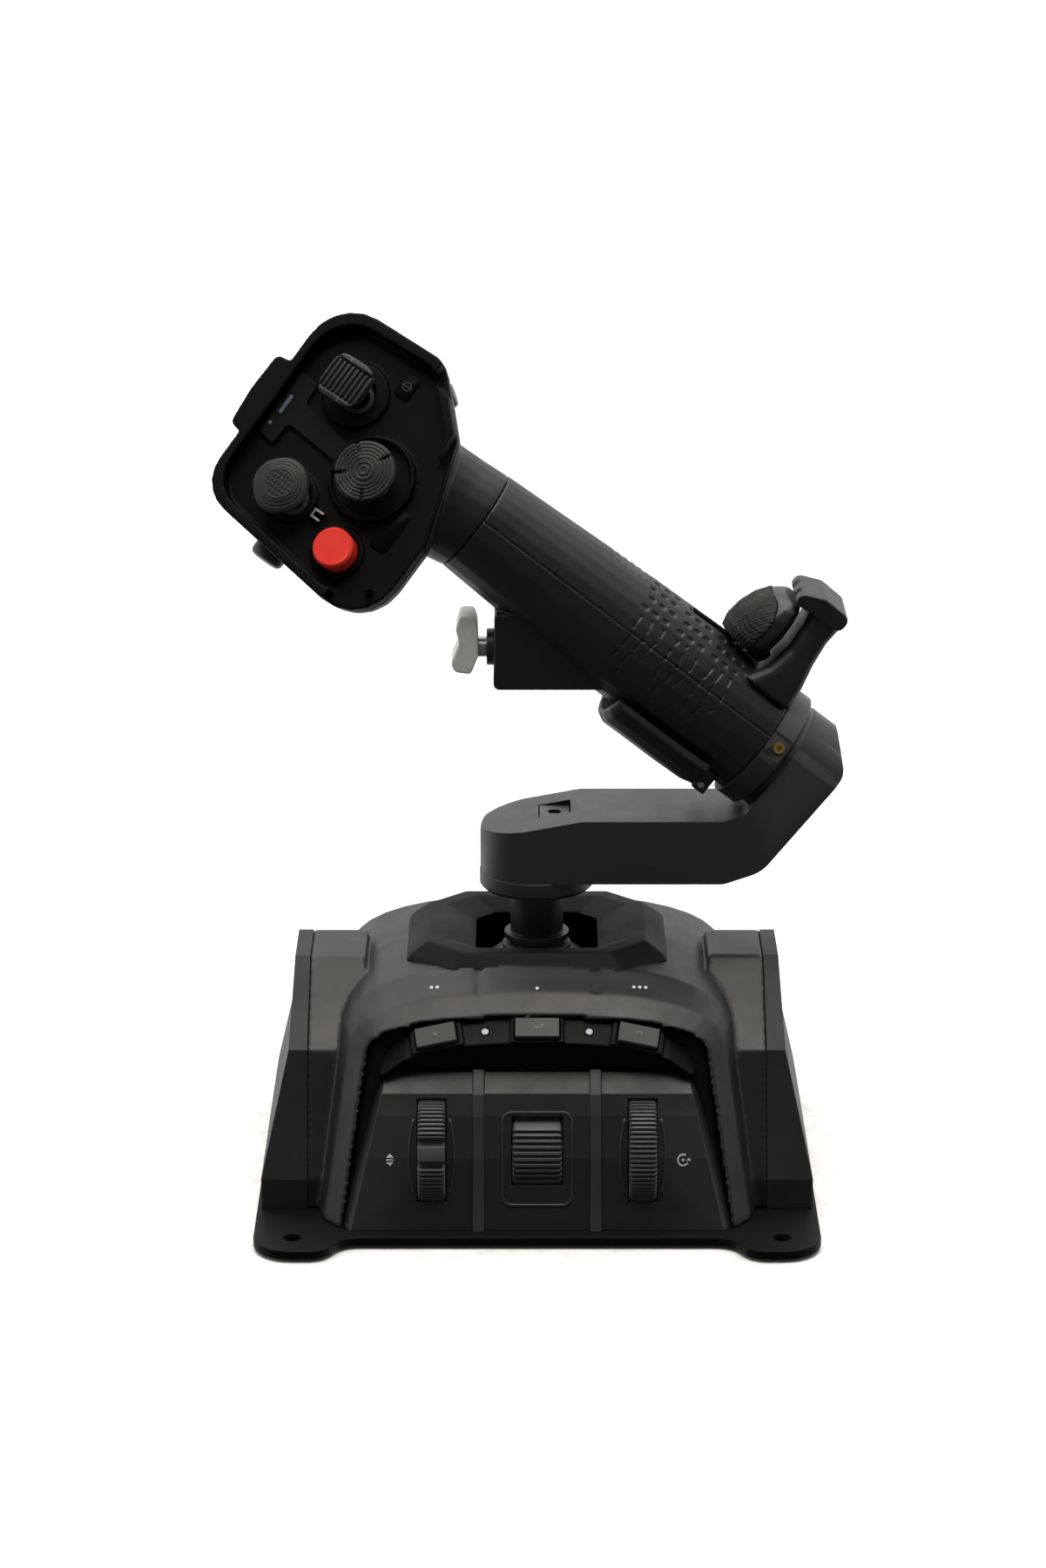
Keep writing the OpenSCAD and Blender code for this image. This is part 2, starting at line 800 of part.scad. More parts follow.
module stick_shaft() {
    color(dark) {
        difference() {
            translate([0, 0, shaft_low]) cylinder(r = shaft_r, h = shaft_high - shaft_low);
            translate([0, 0, shaft_low - 1]) cylinder(r = 6, h = shaft_high - shaft_low + 2);
        }
        translate([0, 0, flange_z]) tube(11.8, shaft_r - eps, 2.4);
        translate([0, 0, shaft_low]) tube(11.8, shaft_r - eps, 2.4);
    }
}

collar_r = 20.7;
collar_bottom = 105;

module shaft_collar() {
    color(black) translate([0, 0, collar_bottom]) rotate_extrude($fn = 64) polygon([
        [shaft_r, 0], [collar_r - 1.2, 0], [collar_r, 1.2], [collar_r, arm_bottom - collar_bottom],
        [shaft_r, arm_bottom - collar_bottom]
    ]);
}

// The grip's own frame: +Z runs up the grip's axis and +X points to its palm side.
module grip_frame() {
    translate([grip_x, 0, grip_z]) rotate([0, grip_angle - 90, 0]) children();
}

along = [-cos(grip_angle), sin(grip_angle)];
across = [sin(grip_angle), cos(grip_angle)];

// A point of the grip's frame, at y = 0, as [x, z] of the whole object.
function on_grip(q, t) = [grip_x, grip_z] + q * across + t * along;

leg_t = 18.5;
leg_up = 21;
arm_left = 20.5;

module adapter_arm() {
    contact_low = on_grip(-21, 0);
    contact_high = on_grip(leg_up, 0);
    back_high = on_grip(leg_up, -leg_t * 0.55);
    back_mid = on_grip(12, -leg_t - 1);
    back_low = on_grip(-34, -leg_t + 0.5);
    profile = [
        [-arm_left, arm_bottom, 1], [-arm_left, 128.2, 3], [16, arm_top, 10], [66, arm_top, 12],
        [contact_low.x, contact_low.y, 4], [contact_high.x, contact_high.y, 1],
        [back_high.x, back_high.y, 2], [back_mid.x, back_mid.y, 6], [back_low.x, back_low.y, 14],
        [67, arm_bottom, 8]
    ];
    color(black) difference() {
        extrude_y(rounded(profile), arm_w);
        difference() {
            translate([-arm_left - 20, -arm_w, 100]) cube([arm_left + 20, 2 * arm_w, 60]);
            translate([0, 0, 99]) cylinder(r = arm_left, h = 62);
        }
        grip_frame() difference() {
            translate([0, -arm_w, -leg_t - 20]) cube([60, 2 * arm_w, leg_t + 40]);
            translate([0, 0, -leg_t - 21]) cylinder(r = 21, h = leg_t + 42);
        }
        translate([0, 0, arm_bottom - 1]) cylinder(r = shaft_r, h = shaft_high - arm_bottom + 1);
        translate([insert_x, insert_y, insert_z - 3.4]) cube([insert_l, insert_w, 20]);
    }
}

insert_x = 0.6;
insert_y = -6;
insert_z = 133;
insert_l = 11.6;
insert_w = 15;

module arm_insert() {
    color(dark) translate([insert_x + 0.4, insert_y + 0.4, insert_z - 3.4]) difference() {
        cube([insert_l - 0.8, insert_w - 0.8, 2.6]);
        translate([insert_l / 2 - 0.4, insert_w / 2 - 0.4, 1]) cylinder(r = 2.6, h = 3, $fn = 6);
    }
}

// ---------------------------------------------------------------- grip

grip_start = 11;
collar_out = 23.2;
brass_t = 6.4;
brass_turn = 17;

module grip_collar() {
    color(black) grip_frame() difference() {
        rotate_extrude($fn = 64) polygon([
            [9, 0], [20.6, 0], [20.6, 1.6], [collar_out, 3.4], [collar_out, grip_start], [9, grip_start]
        ]);
        rotate([0, 0, -90 + brass_turn]) translate([collar_out - 10, 0, brass_t]) along_x()
            cylinder(r = 2, h = 20);
        rotate([0, 0, -90 + brass_turn]) translate([collar_out - 0.9, -4.5, 3.4]) cube([4, 9, 9]);
    }
}

module collar_screw() {
    color(brass) grip_frame() rotate([0, 0, -90 + brass_turn]) translate([collar_out - 10, 0, brass_t])
        along_x() {
        difference() {
            cylinder(r = 2, h = 9.6);
            translate([0, 0, 6.5]) cylinder(r = 1.1, h = 5, $fn = 6);
        }
    }
}

palm_side = [[11, 23.4], [30, 24.2], [45, 25], [88, 24.2], [140, 22.3]];
finger_side = [[11, 21.5], [20, 20.4], [62, 20.6], [73, 20.8], [100, 19.2], [140, 16.8]];
// Half the grip's thickness across its flanks: [t along the grip, half width].
flank_side = [[11, 22.4], [40, 22], [75, 21.4], [110, 20], [140, 19]];
grip_stations = [11, 20, 32, 45, 60, 75, 95, 118, grip_len];
shell_steps = 12;

function grip_mid(t) = (lookup(t, palm_side) - lookup(t, finger_side)) / 2;
function grip_half(t) = (lookup(t, palm_side) + lookup(t, finger_side)) / 2;

// A point on the grip's skin, moved inwards by inset, at the angle a from the palm side.
function grip_skin(t, a, inset) =
    [grip_mid(t) + (grip_half(t) - inset) * cos(a), (lookup(t, flank_side) - inset) * sin(a), t];

function seam_angle(t, inset) = acos((seam_q - grip_mid(t)) / (grip_half(t) - inset));

function grip_rows(from_palm, inset) = [
    for (t = grip_stations)
    let (s = seam_angle(t, inset))
    let (a0 = from_palm ? -s : s)
    let (a1 = from_palm ? s : 360 - s)
    [for (k = [0:shell_steps]) grip_skin(t, a0 + (a1 - a0) * k / shell_steps, inset)]
];

module grip_core(t0, t1, inset) {
    stations = concat([t0], [for (t = grip_stations) if (t > t0 + 1 && t < t1 - 1) t], [t1]);
    loft([for (t = stations) [for (k = [0:23]) grip_skin(t, 15 * k, inset)]]);
}

grip_screw_ts = [36, 121];
grip_head_q = -13;

// A hollow post round each shell screw, from q0 to q1 across the grip.
module screw_post(t, q0, q1, r_out, r_in) {
    translate([q0, 0, t]) along_x() tube(r_out, r_in, q1 - q0);
}

// The hand rest's fin from its foot out: [q, lowest t, highest t, half width].
fin_stations = [[19, 10.8, 31, 17.5], [27, 11.6, 26.6, 16.5], [36, 13.4, 24.8, 14.5],
    [45, 14.4, 25.2, 13.5], [52, 14, 27, 13.5]];

// A rounded four-cornered ring across the hand rest at q, from t0 to t1, with half width y.
function rest_ring(q, t0, t1, y, r) = [
    for (p = rounded([[-y, t0, r], [y, t0, r], [y, t1, r], [-y, t1, r]], 3)) [q, p.x, p.y]
];

module hand_fin() {
    loft([for (s = fin_stations) rest_ring(s.x, s.y, s.z, s[3], 4)]);
    lip = [[50.8, 14, 3], [57.6, 13.8, 2.6], [58.2, 25.5, 5], [54.5, 34, 3], [50.2, 33.6, 1.2],
        [50.8, 26, 2]];
    rotate([90, 0, 0]) linear_extrude(28, center = true) polygon(rounded(lip, 4));
}

module grip_shell_palm() {
    color(black) grip_frame() {
        difference() {
            union() {
                shell_between(grip_rows(true, 0), grip_rows(true, grip_wall));
                difference() {
                    hand_fin();
                    grip_core(0, 60, 1);
                }
            }
            rest_rail(gap);
        }
        for (t = grip_screw_ts) screw_post(t, seam_q, lookup(t, palm_side) - 1, 3.5, screw_r);
    }
}

// The dovetail rail that the hand rest slides on.
module rest_rail(clearance) {
    translate([22, -4 - clearance, 24]) cube([6, 8 + 2 * clearance, 34]);
}

block_outline = [[-15.2, 209.5, 1], [-15.6, 181.8, 2], [27, 181.8, 0], [33, 196, 0], [6, 209.5, 0]];
trigger_z = 194.6;
bush_r = 6.6;
trigger_pin_r = 3.7;
block_half_y = 12.5;

function shrunk(outline, d) = [
    [outline[0].x + d, outline[0].y - d, 0], [outline[1].x + d, outline[1].y + d, 0],
    [outline[2].x, outline[2].y + d, 0], [outline[3].x, outline[3].y, 0],
    [outline[4].x, outline[4].y - d, 0]
];

module grip_shell_finger() {
    color(black) difference() {
        union() {
            grip_frame() shell_between(grip_rows(false, 0), grip_rows(false, grip_wall));
            difference() {
                extrude_y(rounded(block_outline, 4), 2 * block_half_y);
                grip_frame() grip_core(30, 139, grip_wall);
                extrude_y(rounded(shrunk(block_outline, grip_wall)), 2 * block_half_y - 2 * grip_wall);
            }
            grip_frame() for (t = grip_screw_ts) {
                screw_post(t, grip_head_q, seam_q, 4.2, screw_r);
                screw_post(t, 1 - lookup(t, finger_side), grip_head_q + eps, 4.2, 2.9);
            }
            grip_frame() for (y = [-lug_y - lug_w, lug_y]) {
                translate([lever_pin_q - 2.6, y, lever_pin_t - 2.8]) cube([9, lug_w, 5.6]);
            }
        }
        extrude_y(rounded(shrunk(block_outline, grip_wall)), 2 * block_half_y - 2 * grip_wall - 2);
        translate([-30, 0, trigger_z]) along_x() cylinder(r = bush_r, h = 25);
        grip_frame() screw_holes();
        grip_frame() translate([lever_pin_q, -20, lever_pin_t]) along_y() cylinder(r = lever_pin_r, h = 40);
    }
}

module screw_holes() {
    for (t = grip_screw_ts) translate([-30, 0, t]) along_x() cylinder(r = 2.9, h = 30 + grip_head_q);
}

module grip_screws() {
    color(steel) grip_frame() for (t = grip_screw_ts) {
        translate([grip_head_q, 0, t]) rotate([0, -90, 0]) screw(screw_r, 28, 2.7, 1.8);
    }
}

module grip_board() {
    color(board_green) grip_frame() translate([-9, 7, 48]) cube([18, board_t, 62]);
    color(dark) grip_frame() translate([-5, 7 + board_t, 70]) cube([9, 1.4, 9]);
}

module trigger_bush() {
    color(black) translate([-18, 0, trigger_z]) along_x() tube(bush_r, trigger_pin_r + fit, 8);
}

module trigger_pin() {
    color(silver) translate([-21.6, 0, trigger_z]) along_x() cylinder(r = trigger_pin_r, h = 15);
}

paddle_outline = [
    [-21.2, 204, 2.5], [-22.4, 208, 2], [-27.6, 207.6, 1.6], [-29, 202.5, 2], [-27.7, 197.8, 4],
    [-30.8, 190.2, 3], [-29.4, 187, 2], [-23.6, 186.2, 1.6], [-20.9, 193, 3]
];
paddle_w = 15;

module trigger_paddle() {
    color(silver) difference() {
        extrude_y(rounded(paddle_outline, 4), paddle_w);
        translate([-21.6, 0, trigger_z]) along_x() cylinder(r = trigger_pin_r, h = 3);
    }
}

lever_pin_q = -23.4;
lever_pin_t = 17.5;
lever_pin_r = 1.4;
lug_y = 8.4;
lug_w = 3;
// The lever from its foot up: [t, half width, thickness].
lever_stations = [[15.5, 3.4, 1], [20, 4.6, 3], [24, 5.6, 3.4], [37, 5.8, 3.8], [53, 5.6, 3.8],
    [59, 5.6, 3.8], [62, 3.2, 3.8]];
lever_spread = 52;
lever_steps = 8;

// The lever's outer or inner skin, stood off the grip's skin by the given rise.
function lever_row(t, rise, side) = [
    for (k = [0:lever_steps])
    let (a = 180 - lever_spread + 2 * lever_spread * k / lever_steps)
    [
        grip_mid(t) + (grip_half(t) + rise) * cos(a),
        (lookup(t, flank_side) + side) * sin(a),
        t
    ]
];

module pinky_lever() {
    color(black) grip_frame() {
        difference() {
            shell_between(
                [for (s = lever_stations) lever_row(s.x, max(s.y, s.z) + 2, 3.4)],
                [for (s = lever_stations) lever_row(s.x, s.z, 1.2)]
            );
            translate([-40, -30, 62.2]) cube([40, 60, 10]);
            for (side = [-1, 1]) translate([-40, side * (lug_y - gap + 10) - 10, 0]) cube([40, 20, 20.8]);
            translate([lever_pin_q, -lug_y, lever_pin_t]) along_y()
                cylinder(r = lever_pin_r, h = 2 * lug_y);
        }
    }
}

module lever_pin() {
    color(steel) grip_frame() translate([lever_pin_q, -lug_y - lug_w, lever_pin_t]) along_y() {
        cylinder(r = lever_pin_r - fit, h = 2 * (lug_y + lug_w));
    }
}

carrier_stations = [
    [26.2, 28.6, 45.6, 11], [30, 27.4, 46.6, 15], [36, 26.8, 45.8, 16.6], [42, 27.2, 43.6, 16.4],
    [47, 28, 40, 14.6],
    [49.4, 29, 37, 11.6]
];

// A ring across the hand rest with a flat underside at t0 and an arched top at t1.
function arch_ring(q, t0, t1, y) = [
    for (k = [0:19])
    let (a = -90 + 18 * k)
    let (h = t1 - t0)
    [q, y * cos(a) * (sin(a) < 0 ? 0.94 : 1),
    t0 + h * (sin(a) < 0 ? 0.3 * (1 + sin(a)) : 0.3 + 0.7 * pow(sin(a), 0.9))]
];

module rest_carrier() {
    color(dark) grip_frame() difference() {
        loft([for (s = carrier_stations) arch_ring(s.x, s.y, s.z, s[3])]);
        rest_pad_body(0);
    }
}

// The pad's body: the upper part of the carrier, stood proud by rise.
module rest_pad_body(rise) {
    intersection() {
        loft([
            for (s = carrier_stations)
            arch_ring(s.x - (s.x < 27 ? 1 : 0), s.y - 1, s.z + 0.6 + rise, s[3] + 0.6 + rise)
        ]);
        translate([26.2 - eps, 0, 0]) rotate([90, 0, 0]) linear_extrude(60, center = true) polygon(rounded([
            [0, 36.4, 0], [13, 35.4, 3], [20.4, 37.6, 3], [20.4, 50, 0], [0, 50, 0]
        ]));
    }
}

module rest_pad() {
    color(rubber) grip_frame() difference() {
        rest_pad_body(0);
        loft([
            for (s = carrier_stations)
            arch_ring(s.x - (s.x < 27 ? 2 : 0) + (s.x > 49 ? 2 : 0), s.y, s.z - 1.4, s[3] - 1.4)
        ]);
    }
}

// ---------------------------------------------------------------- head

// The head's own frame: +Z points out of its face and +Y up along the grip.
module head_frame() {
    grip_frame() translate([-9.4, -13, 196.6]) rotate([62.7, 0, 17]) children();
}

// The head's outline: [x, y, corner radius].
head_corners = [[-43, -48.5, 17], [-6, -49, 8], [32, -36, 6], [51.6, -16, 6], [50.6, 29.6, 18],
    [-33, 30, 14]];
head_centre = [4, -9];
top_hat = [25, 4];
round_hat = [3.5, -19.5];
octagon_hat = [-17.2, 1.6];
red_at = [-24.2, -24.6];
hat_hole = 7;
pivot_r = 6;
pivot_h = 3;
pivot_z = -3;
pivot_pin = 0.8;
red_r = 7.2;

// The head's outline shrunk towards its centre by the factor k.
function head_outline(k) = [for (p = rounded(head_corners, 5)) head_centre + k * (p - head_centre)];

function head_ring(k, z) = [for (p = head_outline(k)) [p.x, p.y, z]];

module hat_socket(p, ring_r, ring_h) {
    translate([p.x, p.y, -eps]) cylinder(r = ring_r, h = ring_h);
}

module hat_bores(p) {
    translate([p.x, p.y, -face_t - 5]) cylinder(r = hat_hole, h = face_t + 20);
    translate([p.x - 9.5, p.y, pivot_z]) along_x() cylinder(r = pivot_pin + fit, h = 19);
}

module head_shell() {
    rim_gap = [[-60, -32], [-36, -32], [-30, -44], [40, -34], [44, -17], [70, -17], [70, -80], [-60, -80]];
    brim = [[-9.4, 27, 0], [22, 27, 0], [21, 35.2, 2.4], [6, 35.8, 0], [-8, 34.6, 2.4]];
    color(black) head_frame() difference() {
        union() {
            loft([head_ring(0.985, -face_t), head_ring(1, 0)]);
            difference() {
                linear_extrude(rim_h) polygon(head_outline(1));
                translate([0, 0, -1]) linear_extrude(rim_h + 2) polygon(head_outline(1 - rim_t / 42));
                translate([0, 0, -2]) linear_extrude(rim_h + 4) polygon(rim_gap);
            }
            translate([0, 0, rim_h - 2.6]) linear_extrude(2.6) polygon(rounded(brim, 3));
            hat_socket(top_hat, 12, 1.6);
            hat_socket(octagon_hat, 9.6, 1.2);
            difference() {
                hat_socket(round_hat, 15.5, 3.4);
                translate([round_hat.x, round_hat.y, 0.6]) cylinder(r = 14.2, h = 5);
            }
            hat_socket(red_at, 9.4, 1.4);
        }
        hat_bores(top_hat);
        hat_bores(round_hat);
        hat_bores(octagon_hat);
        translate([red_at.x, red_at.y, -face_t - 5]) cylinder(r = red_r + gap, h = face_t + 20);
    }
}

// The head's back from its face down: [share of the outline, depth below the face plate].
bowl = [[0.985, 0], [0.97, 6], [0.9, 14], [0.76, 20.5], [0.56, head_depth - face_t]];

function bowl_rings(inset, cut) = [
    for (k = [len(bowl) - 1:-1:0])
    let (b = bowl[k])
    head_ring(b.x - inset / 42, -face_t - b.y + (k > 1 ? inset : 0) + (k == 0 ? cut : 0))
];

// The neck's stations along the grip: [t, q of its centre, half across, half deep, y].
neck_stations = [[grip_len, 2.75, 19.55, 19, 0], [150, 1.4, 20.2, 19.4, 0], [163, -1, 22.4, 20, -1],
    [178, -3, 25, 19, -2]];

module neck(inset, extra) {
    loft([
        for (s = neck_stations)
        [
            for (k = [0:23])
            let (e = s.x < 140 ? -extra : 0)
            [s.y + (s.z - inset) * cos(15 * k), s[4] + (s[3] - inset) * sin(15 * k), s.x + e]
        ]
    ]);
}

thumb_y = 1;
thumb_z = -13;
side_at = [43, -17.5, -14];
side_turn = -38;

module head_back() {
    color(black) difference() {
        union() {
            head_frame() loft(bowl_rings(0, 0));
            grip_frame() neck(0, 0);
        }
        head_frame() loft(bowl_rings(2.4, 1));
        grip_frame() neck(2.4, 1);
        head_frame() translate([-100, -100, -face_t]) cube([200, 200, 40]);
        head_frame() translate([-60, thumb_y, thumb_z]) along_x() cylinder(r = 6.4 + gap, h = 40);
        head_frame() translate(side_at) rotate([0, 0, side_turn]) {
            translate([-8, 0, 0]) along_x() cylinder(r = 4.4 + gap, h = 28);
        }
    }
}

module face_plate() {
    plate = [
        [-4.4, 25.6, 0.8], [-5.4, 18.6, 1], [3.6, 18.2, 2], [1.6, -3.6, 0.8], [9, -4.4, 0.8],
        [12.6, 17.4, 2], [20.6, 17.6, 1], [21.4, 25.4, 0.8]
    ];
    color(dark) head_frame() difference() {
        linear_extrude(1.8) polygon(rounded(plate, 3));
        translate([0, 0, -1]) linear_extrude(4) polygon(lens_outline);
        translate([0, 24, -1]) cylinder(r = 0.8, h = 4);
        translate([round_hat.x, round_hat.y, -1]) cylinder(r = 15.7, h = 6);
    }
}

lens_outline = rounded([[4.6, 24, 0.6], [4.6, 22.4, 0.6], [12.4, 22.4, 0.6], [12.4, 24, 0.6]], 3);

module head_lens() {
    color(lens_blue) head_frame() {
        linear_extrude(1.9) polygon(lens_outline);
        translate([0, 24, 0]) cylinder(r = 0.8, h = 1.9);
    }
}

// ---------------------------------------------------------------- hats and buttons on the head

stem_r = 2.2;

module hat_pivot(p) {
    translate([p.x, p.y, pivot_z]) difference() {
        union() {
            translate([0, 0, -pivot_h / 2]) cylinder(r = pivot_r, h = pivot_h);
            translate([-9, 0, 0]) along_x() cylinder(r = pivot_pin, h = 18);
        }
        translate([0, 0, -pivot_h]) cylinder(r = 4.4, h = 2 * pivot_h);
        translate([0, -8, 0]) along_y() cylinder(r = pivot_pin + fit, h = 16);
    }
}

module hat_stem(p, top) {
    translate([p.x, p.y, pivot_z - 2]) cylinder(r = stem_r, h = top - pivot_z + 2);
    translate([p.x, p.y - 5.8, pivot_z]) along_y() cylinder(r = pivot_pin, h = 11.6);
}

module top_hat_pivot() {
    color(dark) head_frame() hat_pivot(top_hat);
}

module top_hat_cap() {
    ridges = 7;
    color(dark) head_frame() {
        hat_stem(top_hat, 9);
        translate([top_hat.x + 1, top_hat.y + 2, 7.5]) {
            cylinder(r1 = 8.2, r2 = 9.4, h = 2.5);
            translate([0, 0, 2.5]) cylinder(r = 9.4, h = 2.2);
            intersection() {
                cylinder(r = 9.4, h = 8);
                rotate([0, 0, -45]) for (k = [0:ridges]) {
                    lift = (k == 0 || k == ridges) ? 2.6 : 1;
                    translate([-7.6 + 15.2 * k / ridges - 0.6, -7, 4]) cube([1.2, 14, lift + 0.7]);
                }
            }
        }
    }
}

module round_hat_pivot() {
    color(dark) head_frame() hat_pivot(round_hat);
}

module round_hat_cap() {
    color(dark) head_frame() {
        hat_stem(round_hat, 11);
        translate([round_hat.x, round_hat.y, 10]) difference() {
            union() {
                cylinder(r1 = 9.4, r2 = 11, h = 1.6);
                translate([0, 0, 1.6]) cylinder(r = 11, h = 1.4);
                translate([0, 0, 2.9]) for (r = [3, 5.4, 7.6, 9.8]) tube(r, r - 1.1, 0.7);
            }
            for (k = [0:3]) rotate([0, 0, 45 + 90 * k]) translate([3.4, -0.9, 2.2]) cube([9, 1.8, 3]);
        }
    }
}

module octagon_hat_pivot() {
    color(dark) head_frame() hat_pivot(octagon_hat);
}

module octagon_hat_cap() {
    color(dark) head_frame() {
        hat_stem(octagon_hat, 10);
        translate([octagon_hat.x + 0.4, octagon_hat.y + 2, 8.4]) rotate([0, 0, 22.5]) {
            cylinder(r = 10.8, h = 1.4, $fn = 8);
            translate([0, 0, 1.4]) cylinder(r = 9.2, h = 0.9, $fn = 8);
            translate([0, 0, 2.3]) cylinder(r = 7.7, h = 0.9, $fn = 8);
            translate([0, 0, 3.2]) cylinder(r = 6.2, h = 0.8, $fn = 8);
        }
    }
}

module red_button() {
    color(red) head_frame() translate([red_at.x, red_at.y, 0]) {
        translate([0, 0, -face_t]) cylinder(r = red_r, h = face_t + 7.4);
        translate([0, 0, 7.4 - eps]) cylinder(r1 = red_r, r2 = red_r - 0.7, h = 0.8);
    }
}

module thumb_button() {
    color(dark) head_frame() translate([-42.6, thumb_y, thumb_z]) along_x() {
        cylinder(r1 = 5.6, r2 = 6.4, h = 1);
        translate([0, 0, 1 - eps]) cylinder(r = 6.4, h = 9);
    }
}

module side_button() {
    color(dark) head_frame() translate(side_at) rotate([0, 0, side_turn]) translate([-5, 0, 0]) along_x() {
        cylinder(r = 4.4, h = 8.4);
        translate([0, 0, 8.4 - eps]) cylinder(r1 = 4.4, r2 = 3.7, h = 0.8);
    }
}

// ---------------------------------------------------------------- nodes

base_plate();
rubber_feet();
plate_screws();
base_shell();
front_panel();
button_strip();
strip_lenses();
side_cover_left();
side_cover_right();
cover_screws();
gimbal_bezel();
gimbal_frame();
frame_bearings();
pitch_springs();
main_board();
panel_board();
usb_socket();
wheel_bracket();
wheel_axles();
button_left();
button_centre();
button_right();
spring_wheel();
throttle_roller();
encoder_wheel();
pitch_yoke();
yoke_bearings();
roll_springs();
roll_block();
dust_shield();
stick_shaft();
shaft_collar();
adapter_arm();
arm_insert();
grip_collar();
collar_screw();
grip_shell_palm();
grip_shell_finger();
grip_screws();
grip_board();
trigger_bush();
head_shell();
head_back();
face_plate();
head_lens();
trigger_pin();
trigger_paddle();
lever_pin();
pinky_lever();
rest_carrier();
rest_pad();
red_button();
top_hat_pivot();
top_hat_cap();
round_hat_pivot();
round_hat_cap();
octagon_hat_pivot();
octagon_hat_cap();
thumb_button();
side_button();
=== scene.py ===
"""Looks of a desk flight joystick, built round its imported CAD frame. Lengths are in metres."""

import json
from math import atan2, cos, hypot, pi, radians, sin

import bmesh
import bpy
from mathutils import Matrix, Vector
from mathutils.bvhtree import BVHTree

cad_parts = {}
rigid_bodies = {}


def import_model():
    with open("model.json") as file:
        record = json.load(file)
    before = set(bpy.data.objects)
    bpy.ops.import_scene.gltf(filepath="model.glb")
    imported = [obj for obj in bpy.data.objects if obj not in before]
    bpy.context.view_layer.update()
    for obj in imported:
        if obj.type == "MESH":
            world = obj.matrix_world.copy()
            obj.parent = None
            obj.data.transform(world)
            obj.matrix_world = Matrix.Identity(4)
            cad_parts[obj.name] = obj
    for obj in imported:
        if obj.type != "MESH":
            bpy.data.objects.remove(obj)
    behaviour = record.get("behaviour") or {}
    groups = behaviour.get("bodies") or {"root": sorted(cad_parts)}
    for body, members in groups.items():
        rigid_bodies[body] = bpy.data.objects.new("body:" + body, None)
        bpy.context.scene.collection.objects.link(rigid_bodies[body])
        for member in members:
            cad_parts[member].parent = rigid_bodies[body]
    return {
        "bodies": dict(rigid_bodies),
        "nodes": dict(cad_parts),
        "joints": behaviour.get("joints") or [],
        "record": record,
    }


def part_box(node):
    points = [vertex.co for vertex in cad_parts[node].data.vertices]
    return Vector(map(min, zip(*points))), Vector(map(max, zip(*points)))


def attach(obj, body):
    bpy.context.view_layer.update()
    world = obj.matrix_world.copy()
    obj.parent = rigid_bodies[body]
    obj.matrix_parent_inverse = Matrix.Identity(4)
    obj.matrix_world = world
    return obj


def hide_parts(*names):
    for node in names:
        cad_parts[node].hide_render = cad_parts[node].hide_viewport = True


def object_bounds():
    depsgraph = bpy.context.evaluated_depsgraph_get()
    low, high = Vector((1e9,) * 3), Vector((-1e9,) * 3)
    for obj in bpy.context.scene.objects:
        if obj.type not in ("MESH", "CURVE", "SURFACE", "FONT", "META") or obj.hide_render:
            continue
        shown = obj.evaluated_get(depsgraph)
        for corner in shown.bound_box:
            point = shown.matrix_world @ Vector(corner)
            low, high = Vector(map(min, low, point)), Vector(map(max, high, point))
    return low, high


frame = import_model()
CAD_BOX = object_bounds()
MM = 0.001
RECORD = frame["record"]
NODES = frame["nodes"]
SLOT_OF = {s["node"]: s["material_slot"] for s in RECORD["subparts"]}
BODY_OF = {node: body for body, members in RECORD["behaviour"]["bodies"].items() for node in members}
JOINTS = {j["name"]: j for j in RECORD["behaviour"]["joints"]}


# ---------------------------------------------------------------- camera, light and floor

ROOM_GLOW = 0.12

def make_camera():
    data = bpy.data.cameras.new("camera")
    data.lens = 101.64
    data.sensor_width = 36.0
    camera = bpy.data.objects.new("camera", data)
    camera.location = (-0.005, -1.52595, 0.62413)
    camera.rotation_euler = (radians(72.5), 0.0, 0.0)
    bpy.context.collection.objects.link(camera)
    bpy.context.scene.camera = camera


def area_light(name, size, power, colour, location, target):
    data = bpy.data.lights.new(name, "AREA")
    data.shape = "RECTANGLE"
    data.size, data.size_y = size
    data.energy = power
    data.color = colour
    lamp = bpy.data.objects.new(name, data)
    lamp.location = location
    aim = Vector(target) - Vector(location)
    lamp.rotation_euler = aim.to_track_quat("-Z", "Y").to_euler()
    bpy.context.collection.objects.link(lamp)


